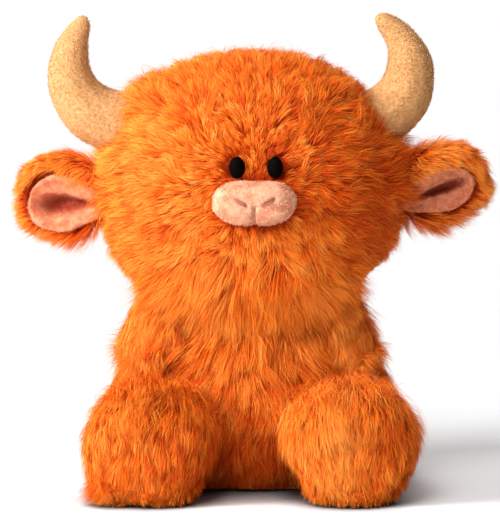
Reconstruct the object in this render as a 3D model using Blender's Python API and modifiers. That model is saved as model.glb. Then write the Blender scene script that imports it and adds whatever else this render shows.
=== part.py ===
"""A seated plush cow: stuffed body, head and limbs, horns, ears, muzzle, eyes and tail.

Metres, +Z up. The toy sits on the plane Z = 0 and faces -Y. Left and right are those of
someone who looks at its face, so the left side is -X. The origin lies on the floor, in
the middle of the toy's box. Each soft form has its true outer size: its coarse cage is
fitted so that the subdivided surface measures the named width, depth and length.
"""

import math

import bmesh
import bpy
from mathutils import Matrix, Vector

# Fits and cuts
SEAM_GAP = 0.0003
CUT_OVERRUN = 0.004
FLOOR_FLAT = 0.0005

# Body, which carries everything
BODY_WIDTH = 0.182
BODY_DEPTH = 0.116
BODY_HEIGHT = 0.140
BODY_BACK_OF_ORIGIN = 0.0135

# Head, on top of the body and leaning forward a little
HEAD_WIDTH = 0.176
HEAD_DEPTH = 0.138
HEAD_HEIGHT = 0.146
HEAD_SUNK_IN_BODY = 0.030
HEAD_LEAN = 0.012

# Seat: a sewn-in base panel, and behind it the bag of pellets that weighs the toy down
SEAT_PANEL_WIDTH = 0.100
SEAT_PANEL_DEPTH = 0.066
SEAT_PANEL_THICKNESS = 0.002
PELLET_BAG_WIDTH = 0.088
PELLET_BAG_DEPTH = 0.060
PELLET_BAG_HEIGHT = 0.026

# Arms, which hang from the shoulders and end above the legs
ARM_WIDTH = 0.046
ARM_DEPTH = 0.048
ARM_LENGTH = 0.064
ARM_ABOVE_SHOULDER = 0.022
SHOULDER_OUT = {"left": 0.0480, "right": 0.0450}
SHOULDER_BELOW_BODY_TOP = 0.0355
SHOULDER_FORWARD = 0.024
ARM_SPLAY_DEG = 22
ARM_SWING_BACK_DEG = 12
ARM_SWING_FORWARD_DEG = 40

# Legs, which point forward along the floor
LEG_WIDTH = 0.072
LEG_HEIGHT = 0.066
LEG_LENGTH = 0.100
LEG_BEHIND_HIP = 0.024
HIP_OUT = {"left": 0.0560, "right": 0.0555}
HIP_FORWARD = 0.034
LEG_SPLAY_DEG = 6
LEG_CLOSE_DEG = 8
LEG_OPEN_DEG = 16

# Horns
HORN_RADIUS = 0.019
HORN_REACH = 0.030
HORN_RISE = 0.064
HORN_ROOT_PROUD = {"left": 0.0040, "right": 0.0084}
HORN_ROOT_ABOVE_CHIN = {"left": 0.1075, "right": 0.1145}

# Ears: a furry leaf with a bowl in its front, and a lining set in the bowl
EAR_LENGTH = 0.066
EAR_WIDTH = 0.050
EAR_THICKNESS = 0.026
EAR_RIM = 0.008
EAR_BOWL_DEPTH = 0.011
EAR_BOWL_WIDTH = {"left": 0.038, "right": 0.033}
EAR_BOWL_DROP = {"left": 0.0025, "right": -0.0025}
EAR_LINING_THICKNESS = 0.0022
EAR_BEHIND_ROOT = 0.012
EAR_FLAP_DEG = 20

# Muzzle with its centre crease and two stitched nostrils
MUZZLE_WIDTH = 0.050
MUZZLE_HEIGHT = 0.028
MUZZLE_DEPTH = 0.026
MUZZLE_ABOVE_CHIN = 0.0675
MUZZLE_SIDEWAYS = 0.0012
MUZZLE_PROUD = 0.0085
CREASE_WIDTH = 0.0016
CREASE_HEIGHT = 0.012
CREASE_DEPTH = 0.0026
NOSTRIL_LENGTH = 0.0085
NOSTRIL_DROP = 0.0045
NOSTRIL_RADIUS = 0.0010
NOSTRIL_SPREAD = 0.0165
NOSTRIL_ABOVE_MIDDLE = 0.0015

# Eyes: plastic, each with a stem through the face and a lock washer behind the fabric
EYE_WIDTH = 0.0095
EYE_HEIGHT = 0.0130
EYE_THICKNESS = 0.0085
EYE_PROUD = 0.0035
EYE_SPACING = 0.0225
EYE_SIDEWAYS = 0.0024
EYE_ABOVE_CHIN = 0.0875
EYE_STEM_RADIUS = 0.0020
EYE_STEM_LENGTH = 0.0150
WASHER_RADIUS = 0.0070
WASHER_THICKNESS = 0.0015
WASHER_BEHIND_EYE = 0.0045

# Tail: a short furry strand with a tuft
TAIL_RADIUS = 0.0058
TAIL_REACH = 0.018
TAIL_DROP = 0.018
TAIL_ROOT_HEIGHT = 0.056
TAIL_TUFT_WIDTH = 0.021
TAIL_TUFT_LENGTH = 0.031
TAIL_LIFT_DEG = 60

# Rings of each soft form from its start to its end:
# share of the length, of the width, of the depth, and how far the ring shifts to the
# back as a share of the depth
BODY_SHARES = (
    (0.00, 0.00, 0.00, 0.00),
    (0.00, 0.70, 0.70, 0.00),
    (0.07, 1.00, 0.98, 0.00),
    (0.22, 1.06, 1.04, -0.01),
    (0.42, 0.92, 1.00, -0.03),
    (0.63, 0.79, 0.92, -0.03),
    (0.82, 0.69, 0.80, 0.00),
    (0.97, 0.42, 0.50, 0.00),
    (1.00, 0.00, 0.00, 0.00),
)
HEAD_SHARES = (
    (0.00, 0.00, 0.00, 0.00),
    (0.01, 0.54, 0.58, 0.00),
    (0.10, 0.88, 0.89, -0.01),
    (0.27, 1.04, 1.03, -0.02),
    (0.47, 1.06, 1.05, -0.02),
    (0.67, 1.01, 1.00, 0.00),
    (0.86, 0.80, 0.82, 0.01),
    (0.97, 0.43, 0.46, 0.01),
    (1.00, 0.00, 0.00, 0.01),
)
ARM_SHARES = (
    (0.00, 0.00, 0.00, 0.00),
    (0.05, 0.60, 0.60, 0.00),
    (0.24, 0.98, 0.98, 0.00),
    (0.50, 0.98, 0.96, 0.00),
    (0.76, 1.06, 1.04, -0.01),
    (0.95, 0.70, 0.70, 0.00),
    (1.00, 0.00, 0.00, 0.00),
)
LEG_SHARES = (
    (0.00, 0.00, 0.00, 0.00),
    (0.03, 0.55, 0.60, 0.00),
    (0.17, 0.86, 0.96, 0.00),
    (0.42, 0.88, 0.98, 0.00),
    (0.68, 1.00, 1.02, 0.00),
    (0.88, 1.04, 1.02, 0.00),
    (0.99, 0.66, 0.66, 0.00),
    (1.00, 0.00, 0.00, 0.00),
)
EAR_SHARES = (
    (0.00, 0.00, 0.00, 0.00),
    (0.02, 0.34, 0.60, 0.00),
    (0.22, 0.66, 0.92, 0.00),
    (0.48, 0.98, 1.02, 0.00),
    (0.74, 1.02, 1.00, 0.00),
    (0.95, 0.62, 0.70, 0.00),
    (1.00, 0.00, 0.00, 0.00),
)
BALL_SHARES = (
    (0.00, 0.00, 0.00, 0.00),
    (0.07, 0.54, 0.54, 0.00),
    (0.28, 0.94, 0.94, 0.00),
    (0.50, 1.04, 1.04, 0.00),
    (0.72, 0.94, 0.94, 0.00),
    (0.93, 0.54, 0.54, 0.00),
    (1.00, 0.00, 0.00, 0.00),
)
CUSHION_SHARES = (
    (0.00, 0.00, 0.00, 0.00),
    (0.00, 0.78, 0.76, 0.00),
    (0.30, 1.04, 1.04, 0.00),
    (0.70, 1.02, 1.02, 0.00),
    (1.00, 0.70, 0.68, 0.00),
    (1.00, 0.00, 0.00, 0.00),
)
TUFT_SHARES = (
    (0.00, 0.00, 0.00, 0.00),
    (0.04, 0.48, 0.48, 0.00),
    (0.30, 1.00, 1.00, 0.00),
    (0.62, 0.86, 0.86, 0.00),
    (0.92, 0.34, 0.34, 0.00),
    (1.00, 0.00, 0.00, 0.00),
)

# Centre line of each horn from inside the head to its tip:
# share of the reach, of the rise, and of the root radius
HORN_SHARES = {
    "left": (
        (-0.62, -0.16, 0.98),
        (0.00, 0.00, 1.00),
        (0.52, 0.12, 0.94),
        (0.90, 0.39, 0.76),
        (0.89, 0.70, 0.55),
        (0.69, 0.93, 0.32),
        (0.62, 1.01, 0.14),
    ),
    "right": (
        (-0.62, -0.16, 0.92),
        (0.00, 0.00, 0.95),
        (0.34, 0.19, 0.90),
        (0.43, 0.45, 0.76),
        (0.24, 0.68, 0.51),
        (-0.12, 0.85, 0.32),
        (-0.25, 0.90, 0.14),
    ),
}
# Centre line of the tail: share of the reach and of the drop
TAIL_SHARES = ((-0.60, -0.20), (0.25, 0.05), (0.80, 0.45), (1.00, 1.00))

# How each ear is held: its tip's rise over level, how far its front turns from straight
# ahead about the ear's own length, and how far the tip is swept back
EAR_HOLD_DEG = {"left": (-1, -8, 11), "right": (17, 28, 3)}
EAR_ROOT_ABOVE_CHIN = {"left": 0.0635, "right": 0.0625}

SIDES = {"left": -1, "right": 1}
SWEEP_STEP_DEG = 10
FORM_SIDES_COUNT = 8
LIMB_SIDES_COUNT = 6
SMALL_SIDES_COUNT = 10
ROUNDING_COUNT = 2
SMALL_ROUNDING_COUNT = 1
TUBE_SIDES_COUNT = 3
TUBE_STEPS_COUNT = 3
DISC_SIDES_COUNT = 16

UP = Vector((0, 0, 1))
RIGHT = Vector((1, 0, 0))
FORWARD = Vector((0, -1, 0))

COLOURS = {
    "fur": ((0.83, 0.16, 0.012), 0.85),
    "horn_plush": ((0.82, 0.53, 0.24), 0.80),
    "skin_plush": ((0.85, 0.45, 0.33), 0.75),
    "nostril_thread": ((0.62, 0.17, 0.13), 0.60),
    "eye_plastic": ((0.012, 0.010, 0.010), 0.30),
    "washer_plastic": ((0.80, 0.80, 0.78), 0.45),
    "bag_cloth": ((0.72, 0.70, 0.64), 0.85),
}


def start_empty():
    """Removes what the scene holds and makes the two collections."""
    for old in list(bpy.data.objects):
        bpy.data.objects.remove(old, do_unlink=True)
    parts = bpy.data.collections.new("plush_cow")
    cutters = bpy.data.collections.new("cutters")
    bpy.context.scene.collection.children.link(parts)
    bpy.context.scene.collection.children.link(cutters)
    return parts, cutters


PARTS, CUTTERS = start_empty()
CUTS = []


def material(name):
    """A Principled material with the piece's colour and roughness."""
    found = bpy.data.materials.get(name)
    if found:
        return found
    colour, roughness = COLOURS[name]
    made = bpy.data.materials.new(name)
    made.use_nodes = True
    shader = made.node_tree.nodes["Principled BSDF"]
    shader.inputs["Base Color"].default_value = (*colour, 1)
    shader.inputs["Roughness"].default_value = roughness
    shader.inputs["Metallic"].default_value = 0
    return made


def frame(origin, along, front):
    """A world matrix: local Z runs along a piece and local -Y faces its front."""
    axis_z = along.normalized()
    axis_y = -(front - axis_z * front.dot(axis_z)).normalized()
    axis_x = axis_y.cross(axis_z)
    turned = Matrix((axis_x, axis_y, axis_z)).transposed().to_4x4()
    return Matrix.Translation(origin) @ turned


def evaluated(piece):
    """The piece as its modifiers leave it."""
    bpy.context.view_layer.update()
    return piece.evaluated_get(bpy.context.evaluated_depsgraph_get())


def limits(piece):
    """The lowest and highest world coordinates of a piece with its modifiers."""
    rounded = evaluated(piece).to_mesh()
    places = [piece.matrix_world @ vert.co for vert in rounded.vertices]
    low = Vector([min(place[axis] for place in places) for axis in range(3)])
    high = Vector([max(place[axis] for place in places) for axis in range(3)])
    return low, high


def add_object(name, mesh, place, collection, finish=None):
    """Links a mesh as an object at a world matrix."""
    made = bpy.data.objects.new(name, mesh)
    collection.objects.link(made)
    made.matrix_world = place
    if finish:
        mesh.materials.append(material(finish))
    return made


def subdivide(piece, level):
    """Rounds a coarse cage."""
    rounding = piece.modifiers.new("rounding", "SUBSURF")
    rounding.levels = level
    rounding.render_levels = level
    return rounding


def cage_mesh(name, width, depth, length, shares, start, sides, level):
    """A ball cage whose rings follow the shares, fitted to its true size."""
    cage = bmesh.new()
    bmesh.ops.create_uvsphere(cage, u_segments=sides, v_segments=len(shares) - 1, radius=1)
    for vert in cage.verts:
        ring = round(math.acos(max(-1, min(1, -vert.co.z))) / math.pi * (len(shares) - 1))
        turn = math.atan2(vert.co.y, vert.co.x)
        along, across, deep, back = shares[ring]
        vert.co.x = math.cos(turn) * across * width / 2
        vert.co.y = (math.sin(turn) * deep / 2 + back) * depth
        vert.co.z = along * length
    mesh = bpy.data.meshes.new(name)
    cage.to_mesh(mesh)
    cage.free()
    trial = add_object(name, mesh, Matrix.Identity(4), CUTTERS)
    subdivide(trial, level)
    low, high = limits(trial)
    bpy.data.objects.remove(trial, do_unlink=True)
    grown = [size / (high[axis] - low[axis]) for axis, size in enumerate((width, depth, length))]
    for vert in mesh.vertices:
        vert.co.x *= grown[0]
        vert.co.y = (vert.co.y - (low.y + high.y) / 2) * grown[1]
        vert.co.z = (vert.co.z - low.z) * grown[2] - start
    mesh.shade_smooth()
    return mesh


def soft_form(name, size, shares, place, finish, start=0, sides=FORM_SIDES_COUNT, level=ROUNDING_COUNT):
    """A stuffed form of a true width, depth and length, along its local Z."""
    mesh = cage_mesh(name, *size, shares, start, sides, level)
    made = add_object(name, mesh, place, PARTS, finish)
    subdivide(made, level)
    return made


def small_form(name, size, shares, place, finish, start=0):
    """A small soft form, rounded once."""
    return soft_form(name, size, shares, place, finish, start, SMALL_SIDES_COUNT, SMALL_ROUNDING_COUNT)


def as_cutter(made):
    """Marks an object as a cutter."""
    made.hide_render = True
    made.display_type = "WIRE"
    return made


def group_for(name):
    """The collection of one piece's cutters, and the cut that uses it."""
    found = CUTTERS.children.get(name)
    if found:
        return found
    group = bpy.data.collections.new(name)
    CUTTERS.children.link(group)
    return group


def grown_copy(piece, name, group, gap=SEAM_GAP):
    """A cutter: the piece's own form, larger by a gap all round."""
    made = add_object(name, piece.data.copy(), piece.matrix_world.copy(), group)
    made.data.materials.clear()
    if piece.modifiers.get("rounding"):
        subdivide(made, piece.modifiers["rounding"].levels)
    growth = made.modifiers.new("growth", "DISPLACE")
    growth.strength = gap
    growth.mid_level = 0
    return as_cutter(made)


def box_cutter(name, group, low, high):
    """A cutter between two corners."""
    cage = bmesh.new()
    size = Vector(high) - Vector(low)
    middle = Matrix.Translation((Vector(high) + Vector(low)) / 2)
    bmesh.ops.create_cube(cage, size=1, matrix=middle @ Matrix.Diagonal((*size, 1)))
    mesh = bpy.data.meshes.new(name)
    cage.to_mesh(mesh)
    cage.free()
    return as_cutter(add_object(name, mesh, Matrix.Identity(4), group))


def round_mesh(name, width, depth, height, start=0):
    """An upright oval disc or rod along local Z."""
    cage = bmesh.new()
    bmesh.ops.create_cone(cage, cap_ends=True, segments=DISC_SIDES_COUNT, radius1=1, radius2=1, depth=1)
    for vert in cage.verts:
        vert.co.x *= width / 2
        vert.co.y *= depth / 2
        vert.co.z = (vert.co.z + 1 / 2) * height + start
    mesh = bpy.data.meshes.new(name)
    cage.to_mesh(mesh)
    cage.free()
    return mesh


def combine(piece, group, operation="DIFFERENCE"):
    """Notes that a piece is to be cut by a collection of cutters, or joined to it."""
    CUTS.append((piece, group, operation))


def make_cuts():
    """Gives every piece its cuts, once all the forms that cut it stand in place."""
    for piece, group, operation in CUTS:
        cut = piece.modifiers.new(group.name, "BOOLEAN")
        cut.operation = operation
        cut.operand_type = "COLLECTION"
        cut.collection = group
        cut.solver = "EXACT"


def cut_to_floor(piece):
    """Cuts the flat that a form rests on."""
    low, high = limits(piece)
    margin = Vector((CUT_OVERRUN, CUT_OVERRUN, CUT_OVERRUN))
    top = high + margin
    group = group_for(piece.name + "_floor")
    box_cutter(piece.name + "_floor_cutter", group, low - margin, (top.x, top.y, 0))
    combine(piece, group)


def turned_about(point, axis, degrees):
    """The matrix that turns the world about a line."""
    turn = Matrix.Rotation(math.radians(degrees), 4, axis)
    return Matrix.Translation(point) @ turn @ Matrix.Translation(-point)


def sweep_angles(lowest, highest):
    """Evenly spaced angles over a joint's range, with rest among them."""
    angles = {0, lowest, highest}
    angles.update(range(0, int(highest), SWEEP_STEP_DEG))
    angles.update(range(0, int(lowest), -SWEEP_STEP_DEG))
    return sorted(angles)


def clear_of(piece, neighbour, point, axis, lowest, highest):
    """Cuts a moving piece by all the places where its neighbour stands as it turns."""
    group = group_for(piece.name + "_clear_of_" + neighbour.name)
    for angle in sweep_angles(lowest, highest):
        name = f"{piece.name}_at_{angle}"
        cutter = grown_copy(neighbour, name, group)
        cutter.matrix_world = turned_about(point, axis, -angle) @ cutter.matrix_world
    combine(piece, group)


def above_chin(head, rise):
    """The height of a place on the head, from how far it lies above the head's bottom."""
    return head.matrix_world.translation.z + rise


def surface_on(piece, start, heading):
    """Where a line from a start outside a piece first meets it."""
    met = evaluated(piece)
    back = met.matrix_world.inverted()
    found, place, _, _ = met.ray_cast(back @ start, (back.to_3x3() @ heading).normalized())
    if not found:
        raise ValueError(f"{piece.name} isn't met from {start}")
    return met.matrix_world @ place


def front_of(piece, x, z):
    """The point of a piece's front at x and z."""
    return surface_on(piece, Vector((x, -HEAD_DEPTH * 2, z)), -FORWARD)


def tube(name, points, radius, radius_shares, place, finish, collection=PARTS):
    """A closed tube through points, whose radius follows shares, as a mesh."""
    curve = bpy.data.curves.new(name, "CURVE")
    curve.dimensions = "3D"
    curve.bevel_depth = radius
    curve.bevel_resolution = TUBE_SIDES_COUNT
    curve.use_fill_caps = True
    curve.resolution_u = TUBE_STEPS_COUNT
    spline = curve.splines.new("BEZIER")
    spline.bezier_points.add(len(points) - 1)
    for knot, point, share in zip(spline.bezier_points, points, radius_shares):
        knot.co = point
        knot.radius = share
        knot.handle_left_type = "AUTO"
        knot.handle_right_type = "AUTO"
    drawn = bpy.data.objects.new(name + "_line", curve)
    collection.objects.link(drawn)
    mesh = bpy.data.meshes.new_from_object(evaluated(drawn))
    bpy.data.objects.remove(drawn, do_unlink=True)
    welded = bmesh.new()
    welded.from_mesh(mesh)
    bmesh.ops.remove_doubles(welded, verts=welded.verts, dist=SEAM_GAP / 10)
    bmesh.ops.recalc_face_normals(welded, faces=welded.faces)
    welded.to_mesh(mesh)
    welded.free()
    mesh.name = name
    mesh.materials.clear()
    mesh.shade_smooth()
    return add_object(name, mesh, place, collection, finish)


def build_body():
    """The stuffed body, flat where it sits."""
    place = frame(Vector((0, BODY_BACK_OF_ORIGIN, 0)), UP, FORWARD)
    body = soft_form(
        "body", (BODY_WIDTH, BODY_DEPTH, BODY_HEIGHT), BODY_SHARES, place, "fur", start=FLOOR_FLAT
    )
    cut_to_floor(body)
    return body


def build_head(body):
    """The stuffed head, which the body's top is cut to fit."""
    origin = Vector((0, BODY_BACK_OF_ORIGIN - HEAD_LEAN, BODY_HEIGHT - HEAD_SUNK_IN_BODY))
    head = soft_form(
        "head", (HEAD_WIDTH, HEAD_DEPTH, HEAD_HEIGHT), HEAD_SHARES, frame(origin, UP, FORWARD), "fur"
    )
    group = group_for("neck")
    grown_copy(head, "neck_cutter", group)
    combine(body, group)
    return head


def build_seat(body):
    """The base panel in its recess, and the pellet bag in the pocket above it."""
    place = body.matrix_world.copy()
    group = group_for("seat")
    panel_mesh = round_mesh("seat_panel", SEAT_PANEL_WIDTH, SEAT_PANEL_DEPTH, SEAT_PANEL_THICKNESS)
    add_object("seat_panel", panel_mesh, place, PARTS, "fur")
    recess = round_mesh(
        "seat_recess",
        SEAT_PANEL_WIDTH + SEAM_GAP * 2,
        SEAT_PANEL_DEPTH + SEAM_GAP * 2,
        SEAT_PANEL_THICKNESS + SEAM_GAP + CUT_OVERRUN,
        start=-CUT_OVERRUN,
    )
    as_cutter(add_object("seat_recess", recess, place, group))
    bag = small_form(
        "pellet_bag",
        (PELLET_BAG_WIDTH, PELLET_BAG_DEPTH, PELLET_BAG_HEIGHT),
        CUSHION_SHARES,
        place @ Matrix.Translation(UP * (SEAT_PANEL_THICKNESS + SEAM_GAP)),
        "bag_cloth",
    )
    grown_copy(bag, "pellet_pocket", group, gap=SEAM_GAP * 2)
    combine(body, group)


def build_arm(side, body, head):
    """An arm that swings about a level axis through the shoulder."""
    sign = SIDES[side]
    shoulder_height = BODY_HEIGHT - SHOULDER_BELOW_BODY_TOP
    shoulder = Vector(
        (sign * SHOULDER_OUT[side], BODY_BACK_OF_ORIGIN - SHOULDER_FORWARD, shoulder_height)
    )
    lean = math.radians(ARM_SPLAY_DEG)
    along = Vector((sign * math.sin(lean), 0, -math.cos(lean)))
    size = (ARM_WIDTH, ARM_DEPTH, ARM_LENGTH)
    arm = soft_form(
        side + "_arm",
        size,
        ARM_SHARES,
        frame(shoulder, along, FORWARD),
        "fur",
        ARM_ABOVE_SHOULDER,
        LIMB_SIDES_COUNT,
    )
    swing = (-ARM_SWING_FORWARD_DEG, ARM_SWING_BACK_DEG)
    for neighbour in (body, head):
        clear_of(arm, neighbour, shoulder, RIGHT, *swing)


def build_leg(side, body):
    """A leg that lies on the floor and turns about an upright axis through the hip."""
    sign = SIDES[side]
    middle_height = LEG_HEIGHT / 2 - FLOOR_FLAT
    hip = Vector((sign * HIP_OUT[side], BODY_BACK_OF_ORIGIN - HIP_FORWARD, middle_height))
    splay = math.radians(LEG_SPLAY_DEG)
    along = Vector((sign * math.sin(splay), -math.cos(splay), 0))
    size = (LEG_WIDTH, LEG_HEIGHT, LEG_LENGTH)
    leg = soft_form(
        side + "_leg", size, LEG_SHARES, frame(hip, along, UP), "fur", LEG_BEHIND_HIP, LIMB_SIDES_COUNT
    )
    cut_to_floor(leg)
    turns = sorted((sign * LEG_OPEN_DEG, -sign * LEG_CLOSE_DEG))
    clear_of(leg, body, hip, UP, *turns)


def build_horn(side, head):
    """A stuffed horn that curls up from the side of the head."""
    sign = SIDES[side]
    height = above_chin(head, HORN_ROOT_ABOVE_CHIN[side])
    beside = Vector((sign * HEAD_WIDTH, head.matrix_world.translation.y, height))
    root = surface_on(head, beside, RIGHT * -sign) + RIGHT * sign * HORN_ROOT_PROUD[side]
    shares = HORN_SHARES[side]
    points = [(sign * out * HORN_REACH, 0, up * HORN_RISE) for out, up, _ in shares]
    horn = tube(
        side + "_horn",
        points,
        HORN_RADIUS,
        [radius for _, _, radius in shares],
        Matrix.Translation(root),
        "horn_plush",
    )
    group = group_for(side + "_horn_root")
    grown_copy(head, side + "_horn_root_cutter", group)
    combine(horn, group)


def build_ear(side, head):
    """A furry ear with a lined bowl, which flaps about a level axis at its root."""
    sign = SIDES[side]
    rise, roll, sweep = (math.radians(angle) for angle in EAR_HOLD_DEG[side])
    height = above_chin(head, EAR_ROOT_ABOVE_CHIN[side])
    beside = Vector((sign * HEAD_WIDTH, head.matrix_world.translation.y, height))
    root = surface_on(head, beside, RIGHT * -sign)
    along = Vector((sign * math.cos(rise) * math.cos(sweep), math.sin(sweep), math.sin(rise)))
    front = Matrix.Rotation(sign * roll, 3, along) @ FORWARD
    place = frame(root, along, front)
    size = (EAR_WIDTH, EAR_THICKNESS, EAR_LENGTH)
    ear = small_form(side + "_ear", size, EAR_SHARES, place, "fur", EAR_BEHIND_ROOT)
    bowl_size = (EAR_BOWL_WIDTH[side], EAR_BOWL_DEPTH * 2, EAR_LENGTH - EAR_RIM * 2)
    mouth_start = EAR_RIM - EAR_BEHIND_ROOT
    mouth = Matrix.Translation((sign * EAR_BOWL_DROP[side], -EAR_THICKNESS / 2, mouth_start))
    lining = small_form(side + "_ear_lining", bowl_size, EAR_SHARES, place @ mouth, "skin_plush")
    bowl = group_for(side + "_ear_bowl")
    grown_copy(lining, side + "_ear_bowl_cutter", bowl)
    combine(ear, bowl)
    rim = group_for(side + "_ear_rim")
    grown_copy(ear, side + "_ear_rim_cutter", rim, gap=0)
    combine(lining, rim, "INTERSECT")
    inside_size = [measure - EAR_LINING_THICKNESS for measure in bowl_size]
    inside_mesh = cage_mesh(
        side + "_ear_hollow",
        *inside_size,
        EAR_SHARES,
        -EAR_LINING_THICKNESS / 2,
        SMALL_SIDES_COUNT,
        SMALL_ROUNDING_COUNT,
    )
    hollow = group_for(side + "_ear_hollow")
    shift = Matrix.Translation((0, -EAR_LINING_THICKNESS, 0))
    inside = as_cutter(add_object(side + "_ear_hollow", inside_mesh, place @ mouth @ shift, hollow))
    subdivide(inside, SMALL_ROUNDING_COUNT)
    combine(lining, hollow)
    for piece in (ear, lining):
        clear_of(piece, head, root, -FORWARD, -EAR_FLAP_DEG, EAR_FLAP_DEG)


def build_muzzle(head):
    """The padded muzzle with its crease, and the two stitched nostrils in their grooves."""
    surface = front_of(head, MUZZLE_SIDEWAYS, above_chin(head, MUZZLE_ABOVE_CHIN))
    middle = surface + FORWARD * (MUZZLE_PROUD - MUZZLE_DEPTH / 2)
    place = frame(middle, UP, FORWARD)
    size = (MUZZLE_WIDTH, MUZZLE_DEPTH, MUZZLE_HEIGHT)
    muzzle = small_form("muzzle", size, BALL_SHARES, place, "skin_plush", MUZZLE_HEIGHT / 2)
    socket = group_for("muzzle_seat")
    grown_copy(head, "muzzle_seat_cutter", socket)
    marks = group_for("muzzle_marks")
    chin = front_of(muzzle, MUZZLE_SIDEWAYS, middle.z - CREASE_HEIGHT / 2)
    crease = cage_mesh(
        "muzzle_crease",
        CREASE_WIDTH,
        CREASE_DEPTH * 2,
        CREASE_HEIGHT,
        BALL_SHARES,
        CREASE_HEIGHT / 2,
        LIMB_SIDES_COUNT,
        SMALL_ROUNDING_COUNT,
    )
    as_cutter(add_object("muzzle_crease", crease, Matrix.Translation(chin), marks))
    for side, sign in SIDES.items():
        build_nostril(side, sign, muzzle, middle, marks)
    combine(muzzle, socket)
    combine(muzzle, marks)


def build_nostril(side, sign, muzzle, middle, marks):
    """One slanted stitch, low at its inner end, half sunk in the muzzle."""
    reach = NOSTRIL_LENGTH / 2
    points = []
    for share in (-1, 0, 1):
        x = middle.x + sign * (NOSTRIL_SPREAD / 2 + share * reach)
        z = middle.z + NOSTRIL_ABOVE_MIDDLE + share * NOSTRIL_DROP / 2
        points.append(front_of(muzzle, x, z))
    shares = (0.7, 1, 0.7)
    place = Matrix.Identity(4)
    tube(side + "_nostril", points, NOSTRIL_RADIUS, shares, place, "nostril_thread")
    groove = tube(
        side + "_nostril_groove", points, NOSTRIL_RADIUS, shares, place, None, collection=marks
    )
    growth = groove.modifiers.new("growth", "DISPLACE")
    growth.strength = SEAM_GAP
    growth.mid_level = 0
    as_cutter(groove)


def build_eye(side, head, sockets):
    """A domed plastic eye on a stem, and the lock washer on the stem inside the head."""
    sign = SIDES[side]
    x = EYE_SIDEWAYS + sign * EYE_SPACING / 2
    surface = front_of(head, x, above_chin(head, EYE_ABOVE_CHIN))
    middle = surface + FORWARD * (EYE_PROUD - EYE_THICKNESS / 2)
    place = frame(middle, UP, FORWARD)
    size = (EYE_WIDTH, EYE_THICKNESS, EYE_HEIGHT)
    name = side + "_eye"
    eye = small_form(name, size, BALL_SHARES, place, "eye_plastic", EYE_HEIGHT / 2)
    grown_copy(eye, side + "_eye_socket", sockets)
    inward = frame(middle, -FORWARD, UP)
    stems = group_for(name + "_stem")
    across = EYE_STEM_RADIUS * 2
    stem = round_mesh(name + "_stem", across, across, EYE_STEM_LENGTH)
    as_cutter(add_object(name + "_stem", stem, inward, stems))
    combine(eye, stems, "UNION")
    wide = across + SEAM_GAP * 2
    bore = round_mesh(name + "_bore", wide, wide, EYE_STEM_LENGTH + SEAM_GAP)
    as_cutter(add_object(name + "_bore", bore, inward, sockets))
    washer_start = EYE_THICKNESS / 2 + WASHER_BEHIND_EYE
    washer_across = WASHER_RADIUS * 2
    washer_mesh = round_mesh(
        name + "_washer", washer_across, washer_across, WASHER_THICKNESS, washer_start
    )
    washer = add_object(name + "_washer", washer_mesh, inward, PARTS, "washer_plastic")
    hole = group_for(name + "_washer_hole")
    hole_mesh = round_mesh(
        name + "_washer_hole",
        wide,
        wide,
        WASHER_THICKNESS + CUT_OVERRUN * 2,
        washer_start - CUT_OVERRUN,
    )
    as_cutter(add_object(name + "_washer_hole", hole_mesh, inward, hole))
    combine(washer, hole)
    pocket_across = washer_across + SEAM_GAP * 2
    pocket_mesh = round_mesh(
        name + "_washer_pocket",
        pocket_across,
        pocket_across,
        WASHER_THICKNESS + SEAM_GAP * 2,
        washer_start - SEAM_GAP,
    )
    as_cutter(add_object(name + "_washer_pocket", pocket_mesh, inward, sockets))


def build_tail(body):
    """A short tail with a tuft, which lifts about a level axis at its root."""
    behind = Vector((0, BODY_BACK_OF_ORIGIN + BODY_DEPTH, TAIL_ROOT_HEIGHT))
    root = surface_on(body, behind, FORWARD)
    points = [(0, out * TAIL_REACH, -drop * TAIL_DROP) for out, drop in TAIL_SHARES]
    shares = (1, 1, 0.92, 0.84)
    place = Matrix.Translation(root)
    tail = tube("tail", points, TAIL_RADIUS, shares, place, "fur")
    clear_of(tail, body, root, RIGHT, 0, TAIL_LIFT_DEG)
    end = root + Vector((0, TAIL_REACH, -TAIL_DROP))
    size = (TAIL_TUFT_WIDTH, TAIL_TUFT_WIDTH, TAIL_TUFT_LENGTH)
    tuft = small_form("tail_tuft", size, TUFT_SHARES, frame(end, -UP, FORWARD), "fur")
    tie = group_for("tail_tuft_tie")
    grown_copy(tail, "tail_tuft_tie_cutter", tie)
    combine(tuft, tie)
    clear_of(tuft, body, root, RIGHT, 0, TAIL_LIFT_DEG)


def build_cow():
    """Builds the toy from the seat upwards."""
    body = build_body()
    head = build_head(body)
    build_seat(body)
    for side in SIDES:
        build_leg(side, body)
        build_arm(side, body, head)
        build_horn(side, head)
        build_ear(side, head)
    build_muzzle(head)
    sockets = group_for("eye_sockets")
    for side in SIDES:
        build_eye(side, head, sockets)
    combine(head, sockets)
    build_tail(body)
    make_cuts()


build_cow()
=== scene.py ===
"""A seated plush cow in long orange fur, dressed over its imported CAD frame.

Metres, +Z up. The toy sits on the plane Z = 0 and faces -Y. Left and right are those of
someone who looks at its face, so the left side is -X. Every piece is built from its own
class, is dressed by its own finish, and rides on the CAD body that carries it.
"""

import logging
import math
from dataclasses import dataclass
from enum import Enum
from typing import Any, Mapping, Sequence, Union

import bpy
import numpy as np
from mathutils import Matrix, Vector
from mathutils.bvhtree import BVHTree
from mathutils.kdtree import KDTree


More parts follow.
